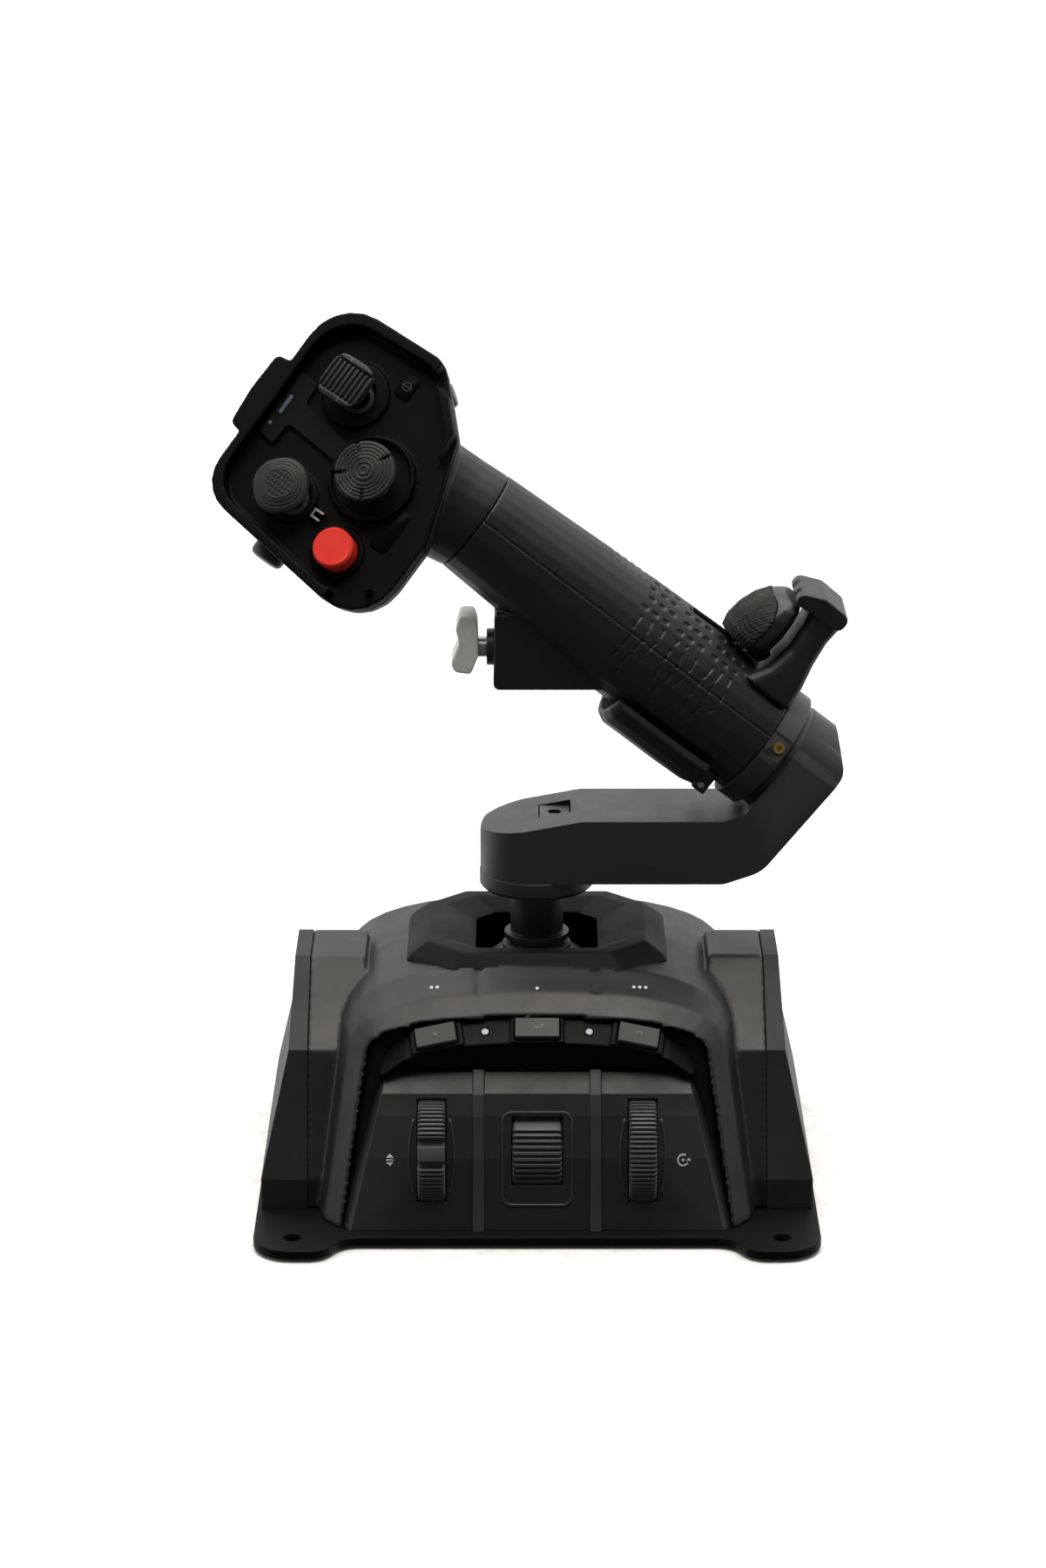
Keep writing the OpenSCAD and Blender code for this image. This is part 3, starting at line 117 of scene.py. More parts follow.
def make_lights():
    """A bright backdrop behind, a dark room in front and one broad warm light overhead."""
    world = bpy.data.worlds.new("studio")
    bpy.context.scene.world = world
    world.use_nodes = True
    tree = world.node_tree
    direction = tree.nodes.new("ShaderNodeTexCoord")
    parts = tree.nodes.new("ShaderNodeSeparateXYZ")
    tree.links.new(direction.outputs["Generated"], parts.inputs["Vector"])
    room = tree.nodes.new("ShaderNodeMapRange")
    room.interpolation_type = "SMOOTHSTEP"
    for socket, value in (("From Min", -0.15), ("From Max", 0.45), ("To Min", ROOM_GLOW), ("To Max", 1.0)):
        room.inputs[socket].default_value = value
    tree.links.new(parts.outputs["Y"], room.inputs["Value"])
    seen = tree.nodes.new("ShaderNodeLightPath")
    strength = tree.nodes.new("ShaderNodeMix")
    strength.inputs["B"].default_value = 1.0
    tree.links.new(seen.outputs["Is Camera Ray"], strength.inputs["Factor"])
    tree.links.new(room.outputs["Result"], strength.inputs["A"])
    background = tree.nodes["Background"]
    background.inputs["Color"].default_value = (1.0, 1.0, 1.0, 1.0)
    tree.links.new(strength.outputs["Result"], background.inputs["Strength"])
    sun = bpy.data.lights.new("overhead", "SUN")
    sun.energy = 2.9
    sun.angle = radians(70)
    sun.color = (1.0, 0.955, 0.90)
    lamp = bpy.data.objects.new("overhead", sun)
    lamp.rotation_euler = (radians(-6), 0, 0)
    bpy.context.collection.objects.link(lamp)
    centre = (CAD_BOX[0] + CAD_BOX[1]) / 2
    area_light("left_strip", (0.10, 0.7), 1.2, (1.0, 0.98, 0.95), (-0.95, -0.15, 0.35), centre)
    area_light("right_strip", (0.10, 0.7), 0.9, (0.97, 0.98, 1.0), (0.95, -0.15, 0.45), centre)
    area_light("front_softbox", (0.9, 0.35), 5.0, (1.0, 0.93, 0.85), (0.0, -0.42, 1.25), (0.0, 0.0, 0.1))
    bpy.context.scene.view_settings.view_transform = "Standard"


def make_floor():
    """A pale floor that the object doesn't mirror."""
    bpy.ops.mesh.primitive_plane_add(size=30, location=(0, 0, CAD_BOX[0].z))
    floor = bpy.context.object
    floor.name = "floor"
    floor.data.materials.append(surface("floor_paint", (0.93, 0.93, 0.93), 0.9, 0.0))
    floor.visible_glossy = False
    floor.visible_diffuse = False


# ---------------------------------------------------------------- materials

def node_of(tree, kind, **values):
    """A shader node with its sockets and properties set by name."""
    node = tree.nodes.new(kind)
    for key, value in values.items():
        if key in node.inputs:
            node.inputs[key].default_value = value
        else:
            setattr(node, key, value)
    return node


def ramp(tree, source, stops):
    """A colour ramp over a texture's value. Each stop is (position, shade) or (position, colour)."""
    node = tree.nodes.new("ShaderNodeValToRGB")
    while len(node.color_ramp.elements) < len(stops):
        node.color_ramp.elements.new(0.5)
    for element, (place, tone) in zip(node.color_ramp.elements, stops):
        element.position = place
        element.color = (*tone, 1.0) if isinstance(tone, tuple) else (tone, tone, tone, 1.0)
    tree.links.new(source, node.inputs["Fac"])
    return node.outputs["Color"]


def scaled(colour, factor):
    return tuple(min(1.0, c * factor) for c in colour)


UNEVEN_GLOSS = 0.06


def surface(
    name, colour, rough, grain, grain_mm=0.5, spread=0.14, wear=0.0,
    metallic=0.0, specular=0.5, streaks=None, coat=0.0,
):
    """A procedural finish: tinted mottling, uneven gloss, a fine grain and rubbed edges."""
    material = bpy.data.materials.new(name)
    material.use_nodes = True
    tree = material.node_tree
    shader = tree.nodes["Principled BSDF"]
    shader.inputs["Metallic"].default_value = metallic
    shader.inputs["Specular IOR Level"].default_value = specular
    shader.inputs["Coat Weight"].default_value = coat
    place = tree.nodes.new("ShaderNodeTexCoord").outputs["Object"]
    if streaks:
        stretch = node_of(tree, "ShaderNodeMapping", Scale=streaks)
        tree.links.new(place, stretch.inputs["Vector"])
        place = stretch.outputs["Vector"]
    mottle = node_of(tree, "ShaderNodeTexNoise", Scale=140.0, Detail=4.0, Roughness=0.6)
    tree.links.new(place, mottle.inputs["Vector"])
    dim, bright = scaled(colour, 1 - spread), scaled(colour, 1 + spread)
    base = ramp(tree, mottle.outputs["Fac"], [(0.3, dim), (0.7, bright)])
    if wear:
        geometry = tree.nodes.new("ShaderNodeNewGeometry")
        edge = ramp(tree, geometry.outputs["Pointiness"], [(0.52, 0.0), (0.60, wear)])
        rubbed = node_of(tree, "ShaderNodeMix", data_type="RGBA")
        tree.links.new(edge, rubbed.inputs["Factor"])
        tree.links.new(base, rubbed.inputs[6])
        rubbed.inputs[7].default_value = (*scaled([c + 0.05 for c in colour], 1.6), 1.0)
        base = rubbed.outputs[2]
    tree.links.new(base, shader.inputs["Base Color"])
    gloss = node_of(tree, "ShaderNodeTexNoise", Scale=60.0, Detail=6.0, Roughness=0.65)
    tree.links.new(place, gloss.inputs["Vector"])
    smoothest, roughest = max(0.05, rough - UNEVEN_GLOSS), min(1.0, rough + UNEVEN_GLOSS)
    uneven = ramp(tree, gloss.outputs["Fac"], [(0.3, smoothest), (0.7, roughest)])
    tree.links.new(uneven, shader.inputs["Roughness"])
    if grain:
        texture = node_of(tree, "ShaderNodeTexNoise", Scale=1.0 / (grain_mm * MM), Detail=2.0)
        tree.links.new(place, texture.inputs["Vector"])
        bump = node_of(tree, "ShaderNodeBump", Strength=grain, Distance=0.1 * MM)
        tree.links.new(texture.outputs["Fac"], bump.inputs["Height"])
        tree.links.new(bump.outputs["Normal"], shader.inputs["Normal"])
    return material


def make_finishes():
    brushed = (1.0, 1.0, 14.0)
    return {
        "black_plastic": surface("black_plastic", (0.0075, 0.0075, 0.0080), 0.46, 0.35, 0.45, wear=0.5),
        "black_metal": surface(
            "black_metal", (0.0085, 0.0085, 0.0090), 0.42, 0.22, 0.30, wear=0.5, specular=0.6
        ),
        "head_black": surface("head_black", (0.0016, 0.0015, 0.0016), 0.58, 0.35, 0.45, specular=0.10),
        "strip_black": surface("strip_black", (0.0034, 0.0034, 0.0035), 0.55, 0.35, 0.45, specular=0.12),
        "plate_black": surface("plate_black", (0.0034, 0.0034, 0.0035), 0.55, 0.35, 0.40, specular=0.12),
        "button_grey": surface(
            "button_grey", (0.0210, 0.0215, 0.0205), 0.50, 0.30, 0.40, wear=0.4, specular=0.3
        ),
        "side_black": surface(
            "side_black", (0.0060, 0.0060, 0.0062), 0.50, 0.35, 0.45, wear=0.3, specular=0.30
        ),
        "mesh_fabric": surface(
            "mesh_fabric", (0.034, 0.035, 0.034), 0.85, 0.6, 0.5, spread=0.3, specular=0.2
        ),
        "dark_plastic": surface("dark_plastic", (0.0100, 0.0100, 0.0108), 0.40, 0.22, 0.35, wear=0.6),
        "grey_plastic": surface("grey_plastic", (0.046, 0.052, 0.051), 0.50, 0.30, 0.40, wear=0.6),
        "rubber": surface("rubber", (0.012, 0.012, 0.012), 0.75, 0.5, 0.6, specular=0.25),
        "steel": surface(
            "steel", (0.42, 0.42, 0.43), 0.33, 0.25, 0.5, metallic=1.0, streaks=brushed, specular=0.5
        ),
        "silver_paint": surface(
            "silver_paint", (0.92, 0.94, 0.86), 0.45, 0.25, 0.3, metallic=0.05, specular=0.5
        ),
        "socket_metal": surface(
            "socket_metal", (0.35, 0.35, 0.36), 0.30, 0.2, 0.4, metallic=1.0, streaks=brushed
        ),
        "brass": surface("brass", (0.62, 0.42, 0.12), 0.32, 0.2, 0.4, metallic=1.0, wear=0.2, specular=0.5),
        "circuit_board": surface("circuit_board", (0.02, 0.09, 0.045), 0.38, 0.25, 0.5, coat=0.3),
        "red_plastic": surface("red_plastic", (0.80, 0.022, 0.008), 0.42, 0.2, 0.35, spread=0.06, wear=0.3),
        "lens": surface("lens", (0.10, 0.13, 0.19), 0.22, 0.1, 0.5, specular=0.5, coat=0.6),
        "print": surface("print", (0.62, 0.63, 0.66), 0.55, 0.2, 0.3),
    }


# ---------------------------------------------------------------- carried-over CAD nodes

BEVELS = {
    "base_plate": 0.5, "side_cover_left": 0.7, "side_cover_right": 0.7,
    "adapter_arm": 1.6, "front_panel": 0.6,
}
PLAIN_BEVEL = 0.3
FLAT_ANGLE = radians(1.5)
EDGE_ANGLE = radians(32)


def soften(obj, width, angle=EDGE_ANGLE):
    """Rounds an object's real edges, so that they catch the light, and shades between them smoothly."""
    weld = obj.modifiers.new("weld", "WELD")
    weld.merge_threshold = 0.002 * MM
    flat = obj.modifiers.new("flat", "DECIMATE")
    flat.decimate_type = "DISSOLVE"
    flat.angle_limit = FLAT_ANGLE
    bevel = obj.modifiers.new("bevel", "BEVEL")
    bevel.width = width
    bevel.segments = 2
    bevel.limit_method = "ANGLE"
    bevel.angle_limit = angle
    bevel.harden_normals = True
    obj.modifiers.new("normals", "WEIGHTED_NORMAL").keep_sharp = True


SPECIAL_FINISH = {
    "head_shell": "head_black", "button_strip": "strip_black", "base_plate": "plate_black",
    "gimbal_bezel": "strip_black", "face_plate": "strip_black", "side_cover_left": "side_black",
    "side_cover_right": "side_black",
    "button_left": "button_grey", "button_centre": "button_grey", "button_right": "button_grey",
    "rest_pad": "mesh_fabric",
}


def finish_of(node):
    return SPECIAL_FINISH.get(node, SLOT_OF[node])


def dress_frame(finishes):
    for name, obj in NODES.items():
        obj.data.materials.clear()
        obj.data.materials.append(finishes[finish_of(name)])
        soften(obj, BEVELS.get(name, PLAIN_BEVEL) * MM)


# ---------------------------------------------------------------- mesh helpers

def axes_frame(origin, x_axis, y_axis):
    """A frame from its origin and the directions of its X and Y."""
    x = Vector(x_axis).normalized()
    y = Vector(y_axis).normalized()
    matrix = Matrix((x, y, x.cross(y))).transposed().to_4x4()
    matrix.translation = Vector(origin)
    return matrix


def step(low, high, x):
    """0 below low and 1 above high, with a smooth rise between them."""
    s = min(1.0, max(0.0, (x - low) / (high - low)))
    return s * s * (3 - 2 * s)


def add_piece(name, verts, faces, matrix, finish, body, smooth=True):
    """A new piece from points in millimetres in a local frame. It rides on a CAD body."""
    mesh = bpy.data.meshes.new(name)
    mesh.from_pydata([matrix @ (Vector(v) * MM) for v in verts], [], faces)
    shape = bmesh.new()
    shape.from_mesh(mesh)
    bmesh.ops.recalc_face_normals(shape, faces=shape.faces)
    shape.to_mesh(mesh)
    shape.free()
    for face in mesh.polygons:
        face.use_smooth = smooth
    piece = bpy.data.objects.new(name, mesh)
    bpy.context.collection.objects.link(piece)
    mesh.materials.append(FINISHES[finish])
    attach(piece, body)
    return piece


def merged(*shapes):
    """Joins several (verts, faces) shapes into one."""
    verts, faces = [], []
    for some_verts, some_faces in shapes:
        start = len(verts)
        verts += list(some_verts)
        faces += [[start + i for i in face] for face in some_faces]
    return verts, faces


def skinned(rings):
    """A closed solid through rings of the same number of points."""
    count = len(rings[0])
    verts = [p for ring in rings for p in ring]
    faces = []
    for j in range(len(rings) - 1):
        for i in range(count):
            k = (i + 1) % count
            faces.append([j * count + i, j * count + k, (j + 1) * count + k, (j + 1) * count + i])
    faces.append(list(range(count)))
    faces.append([(len(rings) - 1) * count + i for i in range(count)])
    return verts, faces


def prism(outline, z0, z1, edge=0.0):
    """An extruded outline, its top edge chamfered by edge."""
    middle = Vector((sum(p[0] for p in outline), sum(p[1] for p in outline))) / len(outline)
    inner = []
    for p in outline:
        inward = middle - Vector(p)
        inner.append(Vector(p) + inward.normalized() * min(edge, inward.length / 2))
    rings = [[(*p, z0) for p in outline], [(*p, z1 - edge) for p in outline]]
    if edge:
        rings.append([(p.x, p.y, z1) for p in inner])
    return skinned(rings)


def rectangle(w, h, r, centre=(0, 0), steps=4):
    """A rounded rectangle's outline."""
    points = []
    for k, (sx, sy) in enumerate(((1, 1), (-1, 1), (-1, -1), (1, -1))):
        for i in range(steps + 1):
            a = pi / 2 * (k + i / steps)
            x = centre[0] + sx * (w / 2 - r) + r * cos(a)
            y = centre[1] + sy * (h / 2 - r) + r * sin(a)
            points.append((x, y))
    return points


def disc(r, centre=(0, 0), count=40):
    return [(centre[0] + r * cos(a), centre[1] + r * sin(a)) for a in angles(count)]


def organic(node, voxel, passes, shape_more=None):
    """A detailed copy of a CAD node, rebuilt as one dense skin, with soft edges and no facets."""
    source = NODES[node]
    copy = bpy.data.objects.new(node + "_skin", source.data.copy())
    bpy.context.collection.objects.link(copy)
    weld = copy.modifiers.new("weld", "WELD")
    weld.merge_threshold = 0.002 * MM
    remesh = copy.modifiers.new("remesh", "REMESH")
    remesh.mode = "VOXEL"
    remesh.voxel_size = voxel * MM
    smooth = copy.modifiers.new("smooth", "SMOOTH")
    smooth.factor = 0.5
    smooth.iterations = passes
    evaluated = copy.evaluated_get(bpy.context.evaluated_depsgraph_get())
    mesh = bpy.data.meshes.new_from_object(evaluated)
    copy.modifiers.clear()
    copy.data = mesh
    mesh.materials.clear()
    mesh.materials.append(FINISHES[finish_of(node)])
    for face in mesh.polygons:
        face.use_smooth = True
    if shape_more:
        places = [shape_more(vert.co.copy(), vert.normal.copy()) for vert in mesh.vertices]
        for vert, place in zip(mesh.vertices, places):
            vert.co = place
    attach(copy, BODY_OF[node])
    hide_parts(node)
    return copy


def surface_tree(obj):
    """An object's finished surface, for finding points on it."""
    return BVHTree.FromObject(obj, bpy.context.evaluated_depsgraph_get())


def print_on(name, target, matrix, outlines, body, finish="print", lift=0.06, reach=40.0):
    """Thin printed shapes. Each outline is in the matrix's XY plane and drops along its -Z."""
    tree = surface_tree(target)
    direction = (matrix.to_3x3() @ Vector((0, 0, -1))).normalized()
    verts, faces = [], []
    for outline in outlines:
        ring = []
        for p in outline:
            start = matrix @ (Vector((p[0], p[1], reach)) * MM)
            hit, _, _, _ = tree.ray_cast(start, direction)
            ring.append((hit if hit else matrix @ (Vector((*p, 0)) * MM)))
        up = [(v - direction * lift * MM) / MM for v in ring]
        down = [(v + direction * 0.1 * MM) / MM for v in ring]
        more = merged((verts, faces), skinned([down, up]))
        verts, faces = more
    return add_piece(name, verts, faces, Matrix.Identity(4), finish, body, smooth=False)


# ---------------------------------------------------------------- frames taken from the joints

WORLD = Matrix.Identity(4)
GRIP_AXIS = Vector(JOINTS["rest_height"]["axis"])
GRIP_ACROSS = Vector((0, 1, 0)).cross(GRIP_AXIS)
# The lever pin's place across and along the grip, in mm.
LEVER_PIN = (-23.4, 17.5)
PIN_OFFSET = (GRIP_ACROSS * LEVER_PIN[0] + GRIP_AXIS * LEVER_PIN[1]) * MM
GRIP_FOOT = Vector(JOINTS["lever_squeeze"]["pos_m"]) - PIN_OFFSET
GRIP = axes_frame(GRIP_FOOT, GRIP_ACROSS, (0, 1, 0))
TO_GRIP = GRIP.inverted()
HEAD_X = Vector(JOINTS["top_hat_tilt"]["axis"])
HEAD_Y = Vector(JOINTS["top_hat_lean"]["axis"])
HEAD_UP = HEAD_X.cross(HEAD_Y)
HAT_PIVOT_DEPTH = 3.0


def hat_frame(name):
    """A hat's own frame: its origin is on the head's face over the hat's pivot."""
    pivot = Vector(JOINTS[name + "_hat_tilt"]["pos_m"])
    return axes_frame(pivot + HEAD_UP * HAT_PIVOT_DEPTH * MM, HEAD_X, HEAD_Y)


# ---------------------------------------------------------------- hats

def height_cap(radius, height, z0, rings, count):
    """A solid with the outline radius(angle), an underside at z0 and a top at height(x, y)."""
    rows = [[(0.9 * radius(a) * cos(a), 0.9 * radius(a) * sin(a), z0) for a in angles(count)]]
    for j in range(rings, 0, -1):
        d = j / rings
        row = []
        for a in angles(count):
            x, y = d * radius(a) * cos(a), d * radius(a) * sin(a)
            fall = 0.9 * step(0.93, 1.0, d)
            row.append((x, y, height(x, y) - fall))
        rows.append(row)
    return skinned(rows)


def angles(count):
    """Evenly spaced angles round a full turn."""
    return [2 * pi * k / count for k in range(count)]


def skirt(z0, r0, z1, r1, count=40):
    """The boot under a hat's cap."""
    rings = []
    for k in range(9):
        s = k / 8
        fold = 0.25 * cos(4 * pi * s)
        r = r0 + (r1 - r0) * s + fold
        rings.append([(r * cos(a), r * sin(a), z0 + (z1 - z0) * s) for a in angles(count)])
    return skinned(rings)


def moved(shape, dx, dy):
    """A (verts, faces) shape shifted in X and Y."""
    verts, faces = shape
    return [(v[0] + dx, v[1] + dy, v[2]) for v in verts], faces


def make_top_hat():
    pitch = 1.9

    def radius(a):
        return 9.1 / (abs(cos(a)) ** 3.4 + abs(sin(a)) ** 3.4) ** (1 / 3.4) * 0.96

    def height(x, y):
        bar = 1.5 * step(5.9, 6.5, abs(x)) * (1 - step(8.0, 8.8, abs(x))) * (1 - step(6.4, 7.6, abs(y)))
        ridge = 0.95 * step(0.2, 0.75, 0.5 + 0.5 * cos(2 * pi * y / pitch)) * (1 - step(5.5, 5.9, abs(x)))
        return 12.2 + bar + ridge - 0.006 * (x * x + y * y)

    cap = height_cap(radius, height, 8.2, 46, 220)
    piece = add_piece("top_hat_detail", *merged(
        moved(cap, 1.0, 2.0), moved(skirt(2.4, 4.8, 8.6, 6.6), 0.5, 1.0)
    ), hat_frame("top"), "dark_plastic", BODY_OF["top_hat_cap"])
    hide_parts("top_hat_cap")


def make_octagon_hat():
    def spread(x, y):
        corner = (abs(x) + abs(y)) * 0.7071
        return (abs(x) ** 9 + abs(y) ** 9 + (1.04 * corner) ** 9) ** (1 / 9)

    def radius(a):
        return 10.4 / spread(cos(a), sin(a))

    def height(x, y):
        d = spread(x, y)
        if d < 5.4:
            bumps = 0.5 * max(0.0, cos(2 * pi * x / 1.8)) ** 0.6 * max(0.0, cos(2 * pi * y / 1.5)) ** 0.6
            return 12.6 + bumps * (1 - step(4.6, 5.0, d))
        rise = sum(0.55 * step(edge, edge + 0.25, d) for edge in (5.5, 6.7, 7.9, 9.1))
        return 12.9 - rise

    cap = height_cap(radius, height, 8.2, 52, 200)
    piece = add_piece("octagon_hat_detail", *merged(
        moved(cap, 0.4, 2.0), moved(skirt(2.4, 4.6, 8.6, 6.0), 0.2, 1.0)
    ), hat_frame("octagon"), "button_grey", BODY_OF["octagon_hat_cap"])
    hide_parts("octagon_hat_cap")


ROUND_HAT_CUTS = (51, 126, 211, 336)


def make_round_hat():
    def height(x, y):
        d = hypot(x, y)
        a = atan2(y, x)
        if d < 3.4:
            return 13.4 + 0.45 * step(0.9, 1.2, d) * (1 - step(1.7, 2.0, d)) + 0.45 * step(2.6, 2.9, d)
        notch = 0.0
        for cut in ROUND_HAT_CUTS:
            off = abs(sin((a - radians(cut)) / 2)) * 2 * d
            notch = max(notch, (1 - step(0.35, 0.8, off)) * step(5.0, 9.0, d))
        plain = 1.0 if radians(-24) < a < radians(51) or a > radians(150) else 0.0
        rings = 0.45 * step(0.25, 0.7, 0.5 + 0.5 * cos(2 * pi * d / 1.25))
        return 13.2 + rings * (1 - 0.6 * plain) * step(3.6, 4.4, d) - 1.6 * notch - 0.004 * d * d

    cap = height_cap(lambda a: 11.0, height, 10.2, 60, 240)
    piece = add_piece("round_hat_detail", *merged(
        cap, skirt(2.9, 5.2, 10.6, 8.0)
    ), hat_frame("round"), "button_grey", BODY_OF["round_hat_cap"])
    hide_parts("round_hat_cap")


# ---------------------------------------------------------------- wheels on the panel

FRONT_LEAN = 17.0
WHEEL_WIDTH = 9.7
ROLLER_WIDTH = 17.4
RIB_PITCH = 5.0
RIB_DEPTH = 1.1


def turned_wheel(name, node, joint, radius, width, count=520):
    """A wheel whose rim radius depends on the angle above the front, in degrees."""
    centre = Vector(JOINTS[joint]["pos_m"]) / MM
    rings = []
    for x, cut in ((-width / 2, 0.9), (-width / 2 + 0.5, 0.25), (-width / 2 + 1.1, 0.0),
                   (width / 2 - 1.1, 0.0), (width / 2 - 0.5, 0.25), (width / 2, 0.9)):
        ring = []
        for k in range(count):
            a = 360.0 * k / count - 180.0
            r = radius(a) - cut
            ring.append((centre.x + x, centre.y - r * cos(radians(a)), centre.z + r * sin(radians(a))))
        rings.append(ring)
    piece = add_piece(name, *skinned(rings), WORLD, "grey_plastic", BODY_OF[node])
    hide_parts(node)
    soften_edges(piece, 40)


def soften_edges(piece, angle):
    """Splits the shading where faces meet at more than the angle, in degrees."""
    mesh = piece.data
    shape = bmesh.new()
    shape.from_mesh(mesh)
    for edge in shape.edges:
        if len(edge.link_faces) == 2 and edge.calc_face_angle(0) > radians(angle):
            edge.smooth = False
    shape.to_mesh(mesh)
    shape.free()


def ribs(a, pitch, depth):
    """The height of a rim's ribs at an angle, with a pitch in degrees."""
    wave = 0.5 + 0.5 * cos(2 * pi * a / pitch)
    return depth * step(0.15, 0.6, wave)


def make_wheels():
    def sprung(a):
        off = abs(a - FRONT_LEAN)
        if off < 17:
            return 16.9 + 2.9 * (1 - step(7.0, 10.5, off)) + 1.6 * step(14.0, 17.0, off)
        return 18.6 + ribs(off - 17, RIB_PITCH, RIB_DEPTH)

    def roller(a):
        lip = 1.6 * step(-43.0, -41.0, a) * (1 - step(-27.0, -23.0, a))
        ridges = ribs(a + 18, 8.6, 1.45) if -21 < a < 52 else 0.0
        return 13.35 + lip + ridges

    def endless(a):
        return 18.7 + ribs(a, RIB_PITCH, RIB_DEPTH)

    turned_wheel("spring_wheel_detail", "spring_wheel", "spring_wheel_turn", sprung, WHEEL_WIDTH)
    turned_wheel("encoder_wheel_detail", "encoder_wheel", "encoder_turn", endless, WHEEL_WIDTH)
    turned_wheel("throttle_roller_detail", "throttle_roller", "roller_turn", roller, ROLLER_WIDTH, 720)


def bead(name, target, path, r, finish, body, closed=False, direction=(0, 1, 0), start=-120.0):
    """A raised moulded line. Its path of (x, z) points is laid on the target's front."""
    tree = surface_tree(target)
    hits = []
    for x, z in path:
        hit, normal, _, _ = tree.ray_cast(Vector((x, start, z)) * MM, Vector(direction))
        if hit:
            hits.append((hit / MM, normal))
    rings = []
    count = len(hits)
    for k, (spot, normal) in enumerate(hits):
        before = hits[(k - 1) % count if closed else max(k - 1, 0)][0]
        after = hits[(k + 1) % count if closed else min(k + 1, count - 1)][0]
        along = (after - before).normalized()
        side = along.cross(normal).normalized()
        up = side.cross(along).normalized()
        if up.dot(normal) < 0:
            up = -up
        rings.append([tuple(spot + side * r * cos(a) + up * 0.75 * r * sin(a)) for a in angles(10)])
    verts, faces = skinned(rings)
    if closed:
        faces = faces[:-2]
        last = (count - 1) * 10
        faces += [[last + i, last + (i + 1) % 10, (i + 1) % 10, i] for i in range(10)]
    return add_piece(name, verts, faces, WORLD, finish, body)


LIP_LOW = 16.0
LIP_HEIGHT = 25.0
LIP_OUT = 6.4
LIP_BULGE = 1.5
ROLLER_FRAME = (24.5, 31.0, 3.2)
ROLLER_FRAME_Z = 27.5


def make_panel_lips(panel):
    """Raised lips beside both wheel slots and a frame round the roller."""
    for name, joint in (("spring_lip", "spring_wheel_turn"), ("encoder_lip", "encoder_turn")):
        centre = Vector(JOINTS[joint]["pos_m"]) / MM
        for side in (-1, 1):
            path = []
            for k in range(25):
                s = k / 24
                bulge = LIP_BULGE * sin(pi * s)
                path.append((centre.x + side * (LIP_OUT + bulge), LIP_LOW + LIP_HEIGHT * s))
            label = name + ("_right" if side > 0 else "_left")
            bead(label, panel, path, 0.55, "black_plastic", "base")
    centre = Vector(JOINTS["roller_turn"]["pos_m"]) / MM
    frame_path = rectangle(*ROLLER_FRAME, (centre.x, ROLLER_FRAME_Z), 6)
    fine = []
    for k, p in enumerate(frame_path):
        q = frame_path[(k + 1) % len(frame_path)]
        pieces = max(1, int(hypot(q[0] - p[0], q[1] - p[1]) / 1.5))
        dx, dy = q[0] - p[0], q[1] - p[1]
        fine += [(p[0] + dx * i / pieces, p[1] + dy * i / pieces) for i in range(pieces)]
    bead("roller_frame", panel, fine, 0.6, "black_plastic", "base", closed=True)


# ---------------------------------------------------------------- arch between the dome and the panel

STRIP_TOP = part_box("button_strip")[1].z / MM
ARCH_HALF = 59.1
ARCH_RISE = 24.1
ARCH_POWER = 2.6


def arch_z(x):
    """The height of the button strip's top edge at x."""
    return STRIP_TOP - ARCH_RISE * (1 - (1 - abs(x / ARCH_HALF) ** ARCH_POWER) ** (1 / ARCH_POWER))


WALL_HALF = 56.0
WALL_FRONT = -58.95
WALL_BACK = -58.68
WALL_TOP_DROP = 9.2
WALL_FOOT_DROP = 15.0
WALL_LOWEST = 48.0


def make_strip_wall():
    """The wall under the button strip's lip."""
    rings = []
    steps = 80
    for k in range(steps + 1):
        x = -WALL_HALF + 2 * WALL_HALF * k / steps
        top = arch_z(x) - WALL_TOP_DROP
        low = max(min(arch_z(x) - WALL_FOOT_DROP, top - 1.0), WALL_LOWEST)
        rings.append([(x, WALL_FRONT, low), (x, WALL_FRONT, top), (x, WALL_BACK, top), (x, WALL_BACK, low)])
    verts, faces = skinned(rings)
    add_piece("strip_wall", verts, faces, WORLD, "strip_black", "base", smooth=False)


RIM_LEAN = 0.41
RIM_REF = 82.0
RIM_FRONT = -57.5
RIM_HALF = 58.0
RIM_TOP = 73.0
RIM_FLARE = 9.0
CROWN_Z = 62.0
FOOT_Z = 3.6


def rim_point(k, inset, back):
    """A point on the dome's front opening, moved inwards and backwards. k runs from -1 to 1."""
    s = abs(k)
    half = RIM_HALF - inset
    top = RIM_TOP - inset
    if s > 0.5:
        z = CROWN_Z + (FOOT_Z - CROWN_Z) * (s - 0.5) / 0.5
        x = half + RIM_FLARE * (CROWN_Z - z) / (CROWN_Z - FOOT_Z)
    else:
        a = pi / 2 * (1 - s / 0.5)
        x = half * cos(a) ** 0.8
        z = CROWN_Z + (top - CROWN_Z) * sin(a) ** 0.8
    y = RIM_FRONT * (1 + RIM_LEAN * (RIM_REF - z) / RIM_REF) + back
    return (x if k > 0 else -x), y, z


def make_arch_liner():
    """Recessed bands behind the dome's rim. They close the space beside the panel, clear of the buttons."""
    profile = [(-1.6, 2.6), (1.5, 2.9), (5.0, 4.4), (9.0, 6.5), (9.0, 7.9), (4.6, 5.9), (-1.6, 4.2)]
    for name, side in (("left", -1), ("right", 1)):
        rings = [[rim_point(side * k / 60, inset, back) for inset, back in profile] for k in range(18, 61)]
        add_piece("arch_liner_" + name, *skinned(rings), WORLD, "strip_black", "base")


# ---------------------------------------------------------------- small parts on the head

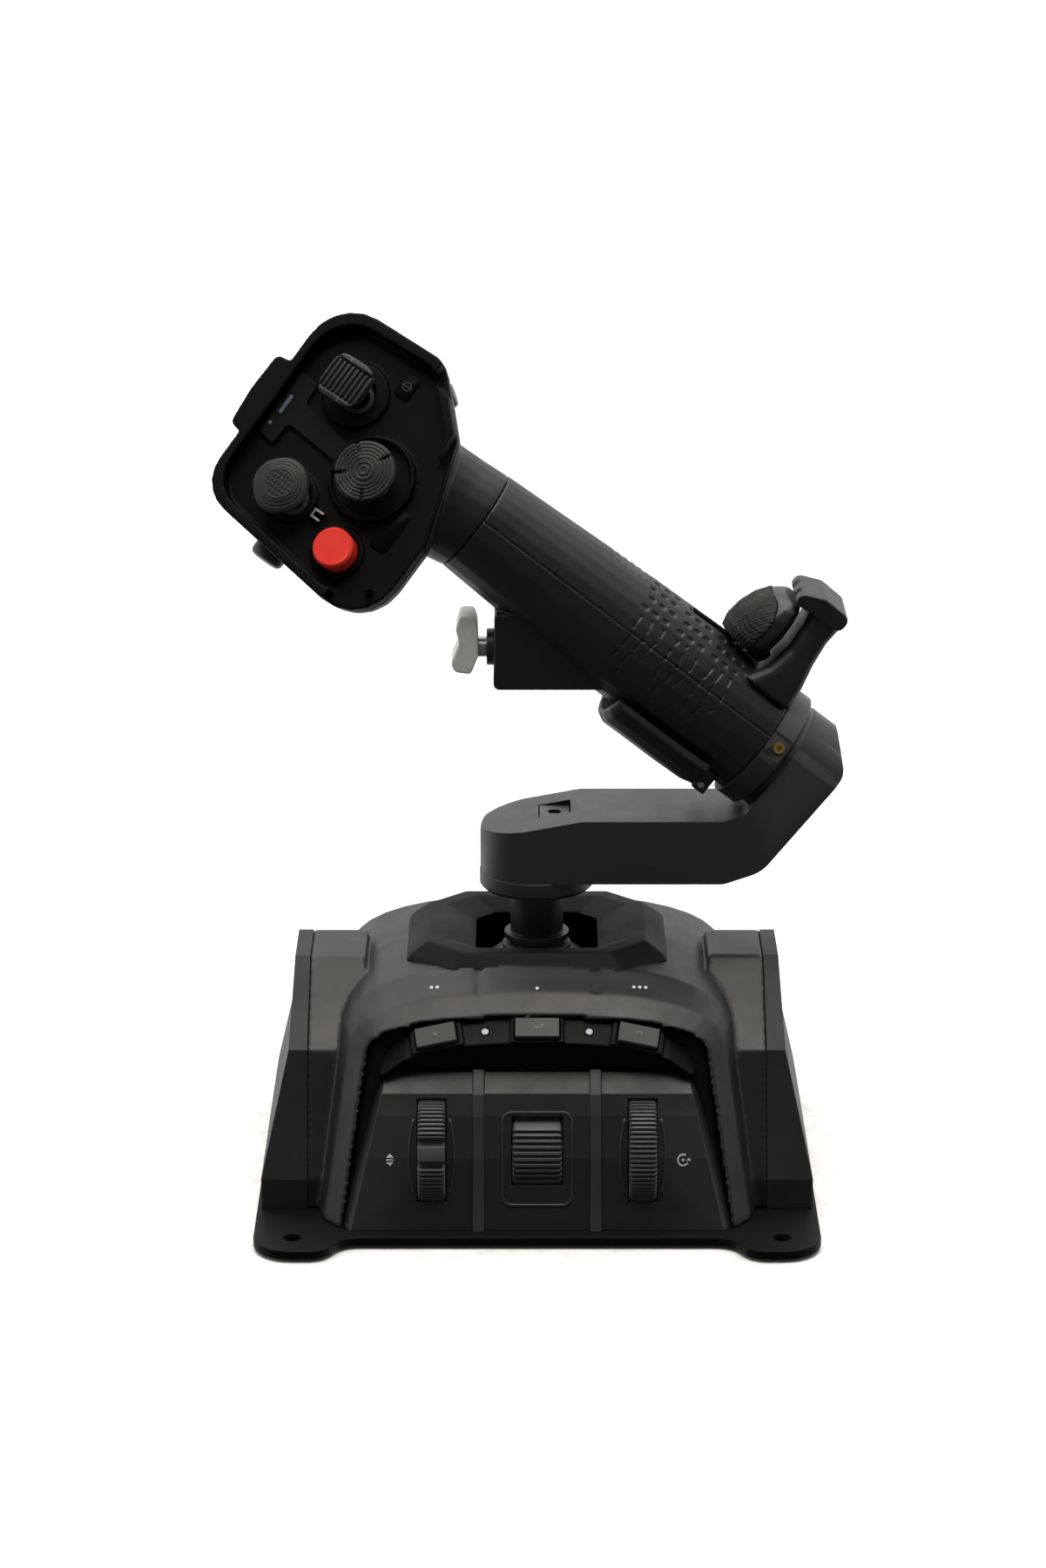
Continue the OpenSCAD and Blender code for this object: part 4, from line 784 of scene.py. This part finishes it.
HEAD_SEAT = (25.0, 4.0)
HEAD_FRAME = hat_frame("top")
HEAD_FRAME.translation = HEAD_FRAME @ (Vector((-HEAD_SEAT[0], -HEAD_SEAT[1], 0.0)) * MM)


# Places on the head's face, in its own X and Y.
CLIP_AT = (-17.5, -10.8)
BADGE_AT = (37.5, -9.5)
FLOOR_PANEL_AT = (-7.5, -35.5)


def head_spot(place):
    """A frame on the head's face at a place on it."""
    return axes_frame(HEAD_FRAME @ (Vector((*place, 0.0)) * MM), HEAD_X, HEAD_Y)


def make_head_parts():
    """A spring clip by the octagon hat, a badge seat with a generic crosshair, and a low floor panel."""
    clip = [
        (-1.9, -2.2), (-1.9, 2.0), (1.9, 2.0), (1.9, -2.2),
        (1.1, -2.2), (1.1, 1.2), (-1.1, 1.2), (-1.1, -2.2),
    ]
    add_piece("hat_clip", *prism(clip, -0.1, 2.6, 0.2), head_spot(CLIP_AT), "steel", "stick", smooth=False)
    badge = head_spot(BADGE_AT)
    raised = prism(rectangle(9.5, 6.5, 1.4), -0.2, 0.55, 0.25)
    add_piece("badge_seat", *raised, badge, "head_black", "stick")
    sight = [arc_band(1.7, 0.35, 0, 175), arc_band(1.7, 0.35, 180, 355), rectangle(0.35, 4.6, 0.1)]
    lines = merged(*(prism(outline, 0.5, 0.8, 0.05) for outline in sight))
    add_piece("badge_lines", *lines, badge, "dark_plastic", "stick", smooth=False)
    low = head_spot(FLOOR_PANEL_AT)
    add_piece("floor_panel", *prism(rectangle(17.0, 7.0, 2.2), -0.2, 0.6, 0.3), low, "head_black", "stick")


def make_thumb_cap():
    """The round button on the head's edge, with a domed end."""
    low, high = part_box("thumb_button")
    centre = (low + high) / 2
    start = centre - HEAD_X * 5.0 * MM
    frame = axes_frame(start, HEAD_Y, HEAD_UP)
    if (frame.to_3x3() @ Vector((0, 0, 1))).dot(HEAD_X) < 0:
        frame = axes_frame(start, HEAD_UP, HEAD_Y)
    profile = (
        (10.0, 6.3), (4.6, 6.3), (3.6, 6.25), (2.7, 5.9), (2.1, 5.2),
        (1.8, 4.0), (1.9, 3.6), (1.7, 2.0), (1.6, 0.4),
    )
    rings = [[(r * cos(a), r * sin(a), z) for a in angles(64)] for z, r in profile]
    piece = add_piece("thumb_cap", *skinned(rings), frame, "dark_plastic", BODY_OF["thumb_button"])
    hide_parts("thumb_button")


# ---------------------------------------------------------------- printed and moulded marks

def triangle(x, y, size, up):
    """An arrowhead's outline, pointing up or down."""
    turn = 1 if up else -1
    return [(x - turn * size, y), (x + turn * size, y), (x, y + turn * size)]


def arc_band(r, width, a0, a1, centre=(0, 0), steps=18):
    """The outline of a band between two radii, from the angle a0 to a1 in degrees."""
    outer = [(centre[0] + r * cos(radians(a)), centre[1] + r * sin(radians(a)))
             for a in (a0 + (a1 - a0) * k / steps for k in range(steps + 1))]
    inner = [(centre[0] + (r - width) * cos(radians(a)), centre[1] + (r - width) * sin(radians(a)))
             for a in (a1 + (a0 - a1) * k / steps for k in range(steps + 1))]
    return outer + inner


# Each button's mark: its name, its place on the dome and its count of dots.
DOT_MARKS = (("left", -36.5, -49.5, 2), ("centre", 0.0, -51.5, 1), ("right", 36.5, -49.5, 3))
DOT_RADIUS = 0.62
DOT_PITCH = 2.1
DOME_MARK_Z = 84.0
PANEL_MARK_Y = -76.0
PANEL_MARK_Z = 27.5
ROCKER_X = -52.0
DIAL_X = 51.5


def panel_spot(x):
    """A frame in front of the panel, facing -Y."""
    return axes_frame(Vector((x, PANEL_MARK_Y, PANEL_MARK_Z)) * MM, (1, 0, 0), (0, 0, 1))


def make_marks(shell, panel):
    """Generic pictograms: counts of dots over the buttons, a rocker and a dial beside the wheels."""
    for name, x, y, count in DOT_MARKS:
        outlines = [disc(DOT_RADIUS, (DOT_PITCH * (k - (count - 1) / 2), 0), 18) for k in range(count)]
        spot = axes_frame(Vector((x, y, DOME_MARK_Z)) * MM, (1, 0, 0), (0, 0.6, 0.8))
        print_on("mark_" + name, shell, spot, outlines, "base")
    rocker = [triangle(0, 0.8, 1.3, True), triangle(0, -0.8, 1.3, False), rectangle(2.6, 0.45, 0.1)]
    print_on("mark_rocker", panel, panel_spot(ROCKER_X), rocker, "base")
    dial = [arc_band(2.1, 0.5, 60, 330), triangle(2.0, -0.2, 0.9, True), disc(0.5, (0, 0), 14)]
    print_on("mark_dial", panel, panel_spot(DIAL_X), dial, "base")
    icons = {
        "button_left": [disc(0.7, (0, 0), 16)],
        "button_centre": [rectangle(3.0, 0.5, 0.2), disc(0.5, (1.8, 0.9), 12)],
        "button_right": [arc_band(1.2, 0.5, -20, 200)],
    }
    for node, outlines in icons.items():
        low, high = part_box(node)
        middle = (low + high) / 2
        press = -Vector(JOINTS[node + "_press"]["axis"])
        across = Vector((0, 1, 0)).cross(press)
        spot = axes_frame(middle, across, press.cross(across))
        print_on("icon_" + node, NODES[node], spot, outlines, BODY_OF[node], "dark_plastic")


# ---------------------------------------------------------------- grip and hand rest

POCKET_COLUMNS = (74.0, 69.5, 65.0, 58.5, 54.0, 49.5, 43.3, 38.8, 34.4)
POCKET_ROWS = (2.4, 7.2, 12.0, 16.4)
POCKET_HALF = (1.35, 0.85)
GRIP_RADIUS = 22.5


def grip_spot(co):
    """A point's place on the grip, in mm: along the axis, round it from the palm ridge, and out from it."""
    local = TO_GRIP @ co / MM
    return local.z, atan2(local.y, local.x) * GRIP_RADIUS, hypot(local.x, local.y)


def pocket_depth(t, arc):
    """How deep the moulded pockets, cross lines and thumb serrations are at a place on the grip."""
    s = abs(arc)
    if s < 19:
        for column in POCKET_COLUMNS:
            for j, row in enumerate(POCKET_ROWS):
                dt = abs(t - column - 0.9 * (j % 2)) / POCKET_HALF[0]
                ds = abs(s - row) / POCKET_HALF[1]
                if dt < 1.5 and ds < 1.5:
                    return (0.85 - 0.12 * j) * (1 - step(0.75, 1.25, (dt**4 + ds**4) ** 0.25))
        if 77 < t < 93 and s < 6:
            return 0.4 * step(0.55, 0.9, 0.5 + 0.5 * cos(2 * pi * t / 3.2)) * (1 - step(4.5, 6.0, s))
        return 0.0
    if s < 47 and 32 < t < 78:
        for k, column in enumerate(POCKET_COLUMNS):
            sway = 0.5 * sin(0.35 * s + 1.7 * k)
            reach = 34 + 11 * (0.5 + 0.5 * sin(2.1 * k))
            line = 1 - step(0.22, 0.6, abs(t - column - sway))
            dashes = step(0.1, 0.3, 0.5 + 0.5 * cos(2 * pi * (s + 1.3 * k) / 7.5))
            if line > 0:
                return 0.42 * line * dashes * (1 - step(reach - 2, reach, s))
    return 0.0


def textured_grip(co, normal):
    t, arc, out = grip_spot(co)
    if out < 19.3 or not 30 < t < 95:
        return co
    return co - normal * pocket_depth(t, arc) * MM


def woven_pad(co, normal):
    local = TO_GRIP @ co / MM
    weave = cos(2 * pi * local.y / 1.6) * cos(2 * pi * (local.x + local.z) / 2.2)
    return co + normal * 0.24 * weave * MM


# ---------------------------------------------------------------- the scene

make_camera()
make_lights()
make_floor()
FINISHES = make_finishes()
dress_frame(FINISHES)
shell_skin = organic("base_shell", 0.9, 6)
organic("head_back", 0.7, 14)
organic("head_shell", 0.5, 4)
organic("grip_shell_finger", 0.5, 8, textured_grip)
organic("grip_shell_palm", 0.45, 8, textured_grip)
organic("pinky_lever", 0.5, 5)
organic("button_strip", 0.35, 6)
organic("gimbal_bezel", 0.5, 10)
organic("rest_carrier", 0.5, 8)
pad = organic("rest_pad", 0.3, 10, woven_pad)
organic("trigger_paddle", 0.4, 6)
make_top_hat()
make_octagon_hat()
make_round_hat()
make_wheels()
make_panel_lips(NODES["front_panel"])
make_strip_wall()
make_arch_liner()
make_head_parts()
make_thumb_cap()
make_marks(shell_skin, NODES["front_panel"])
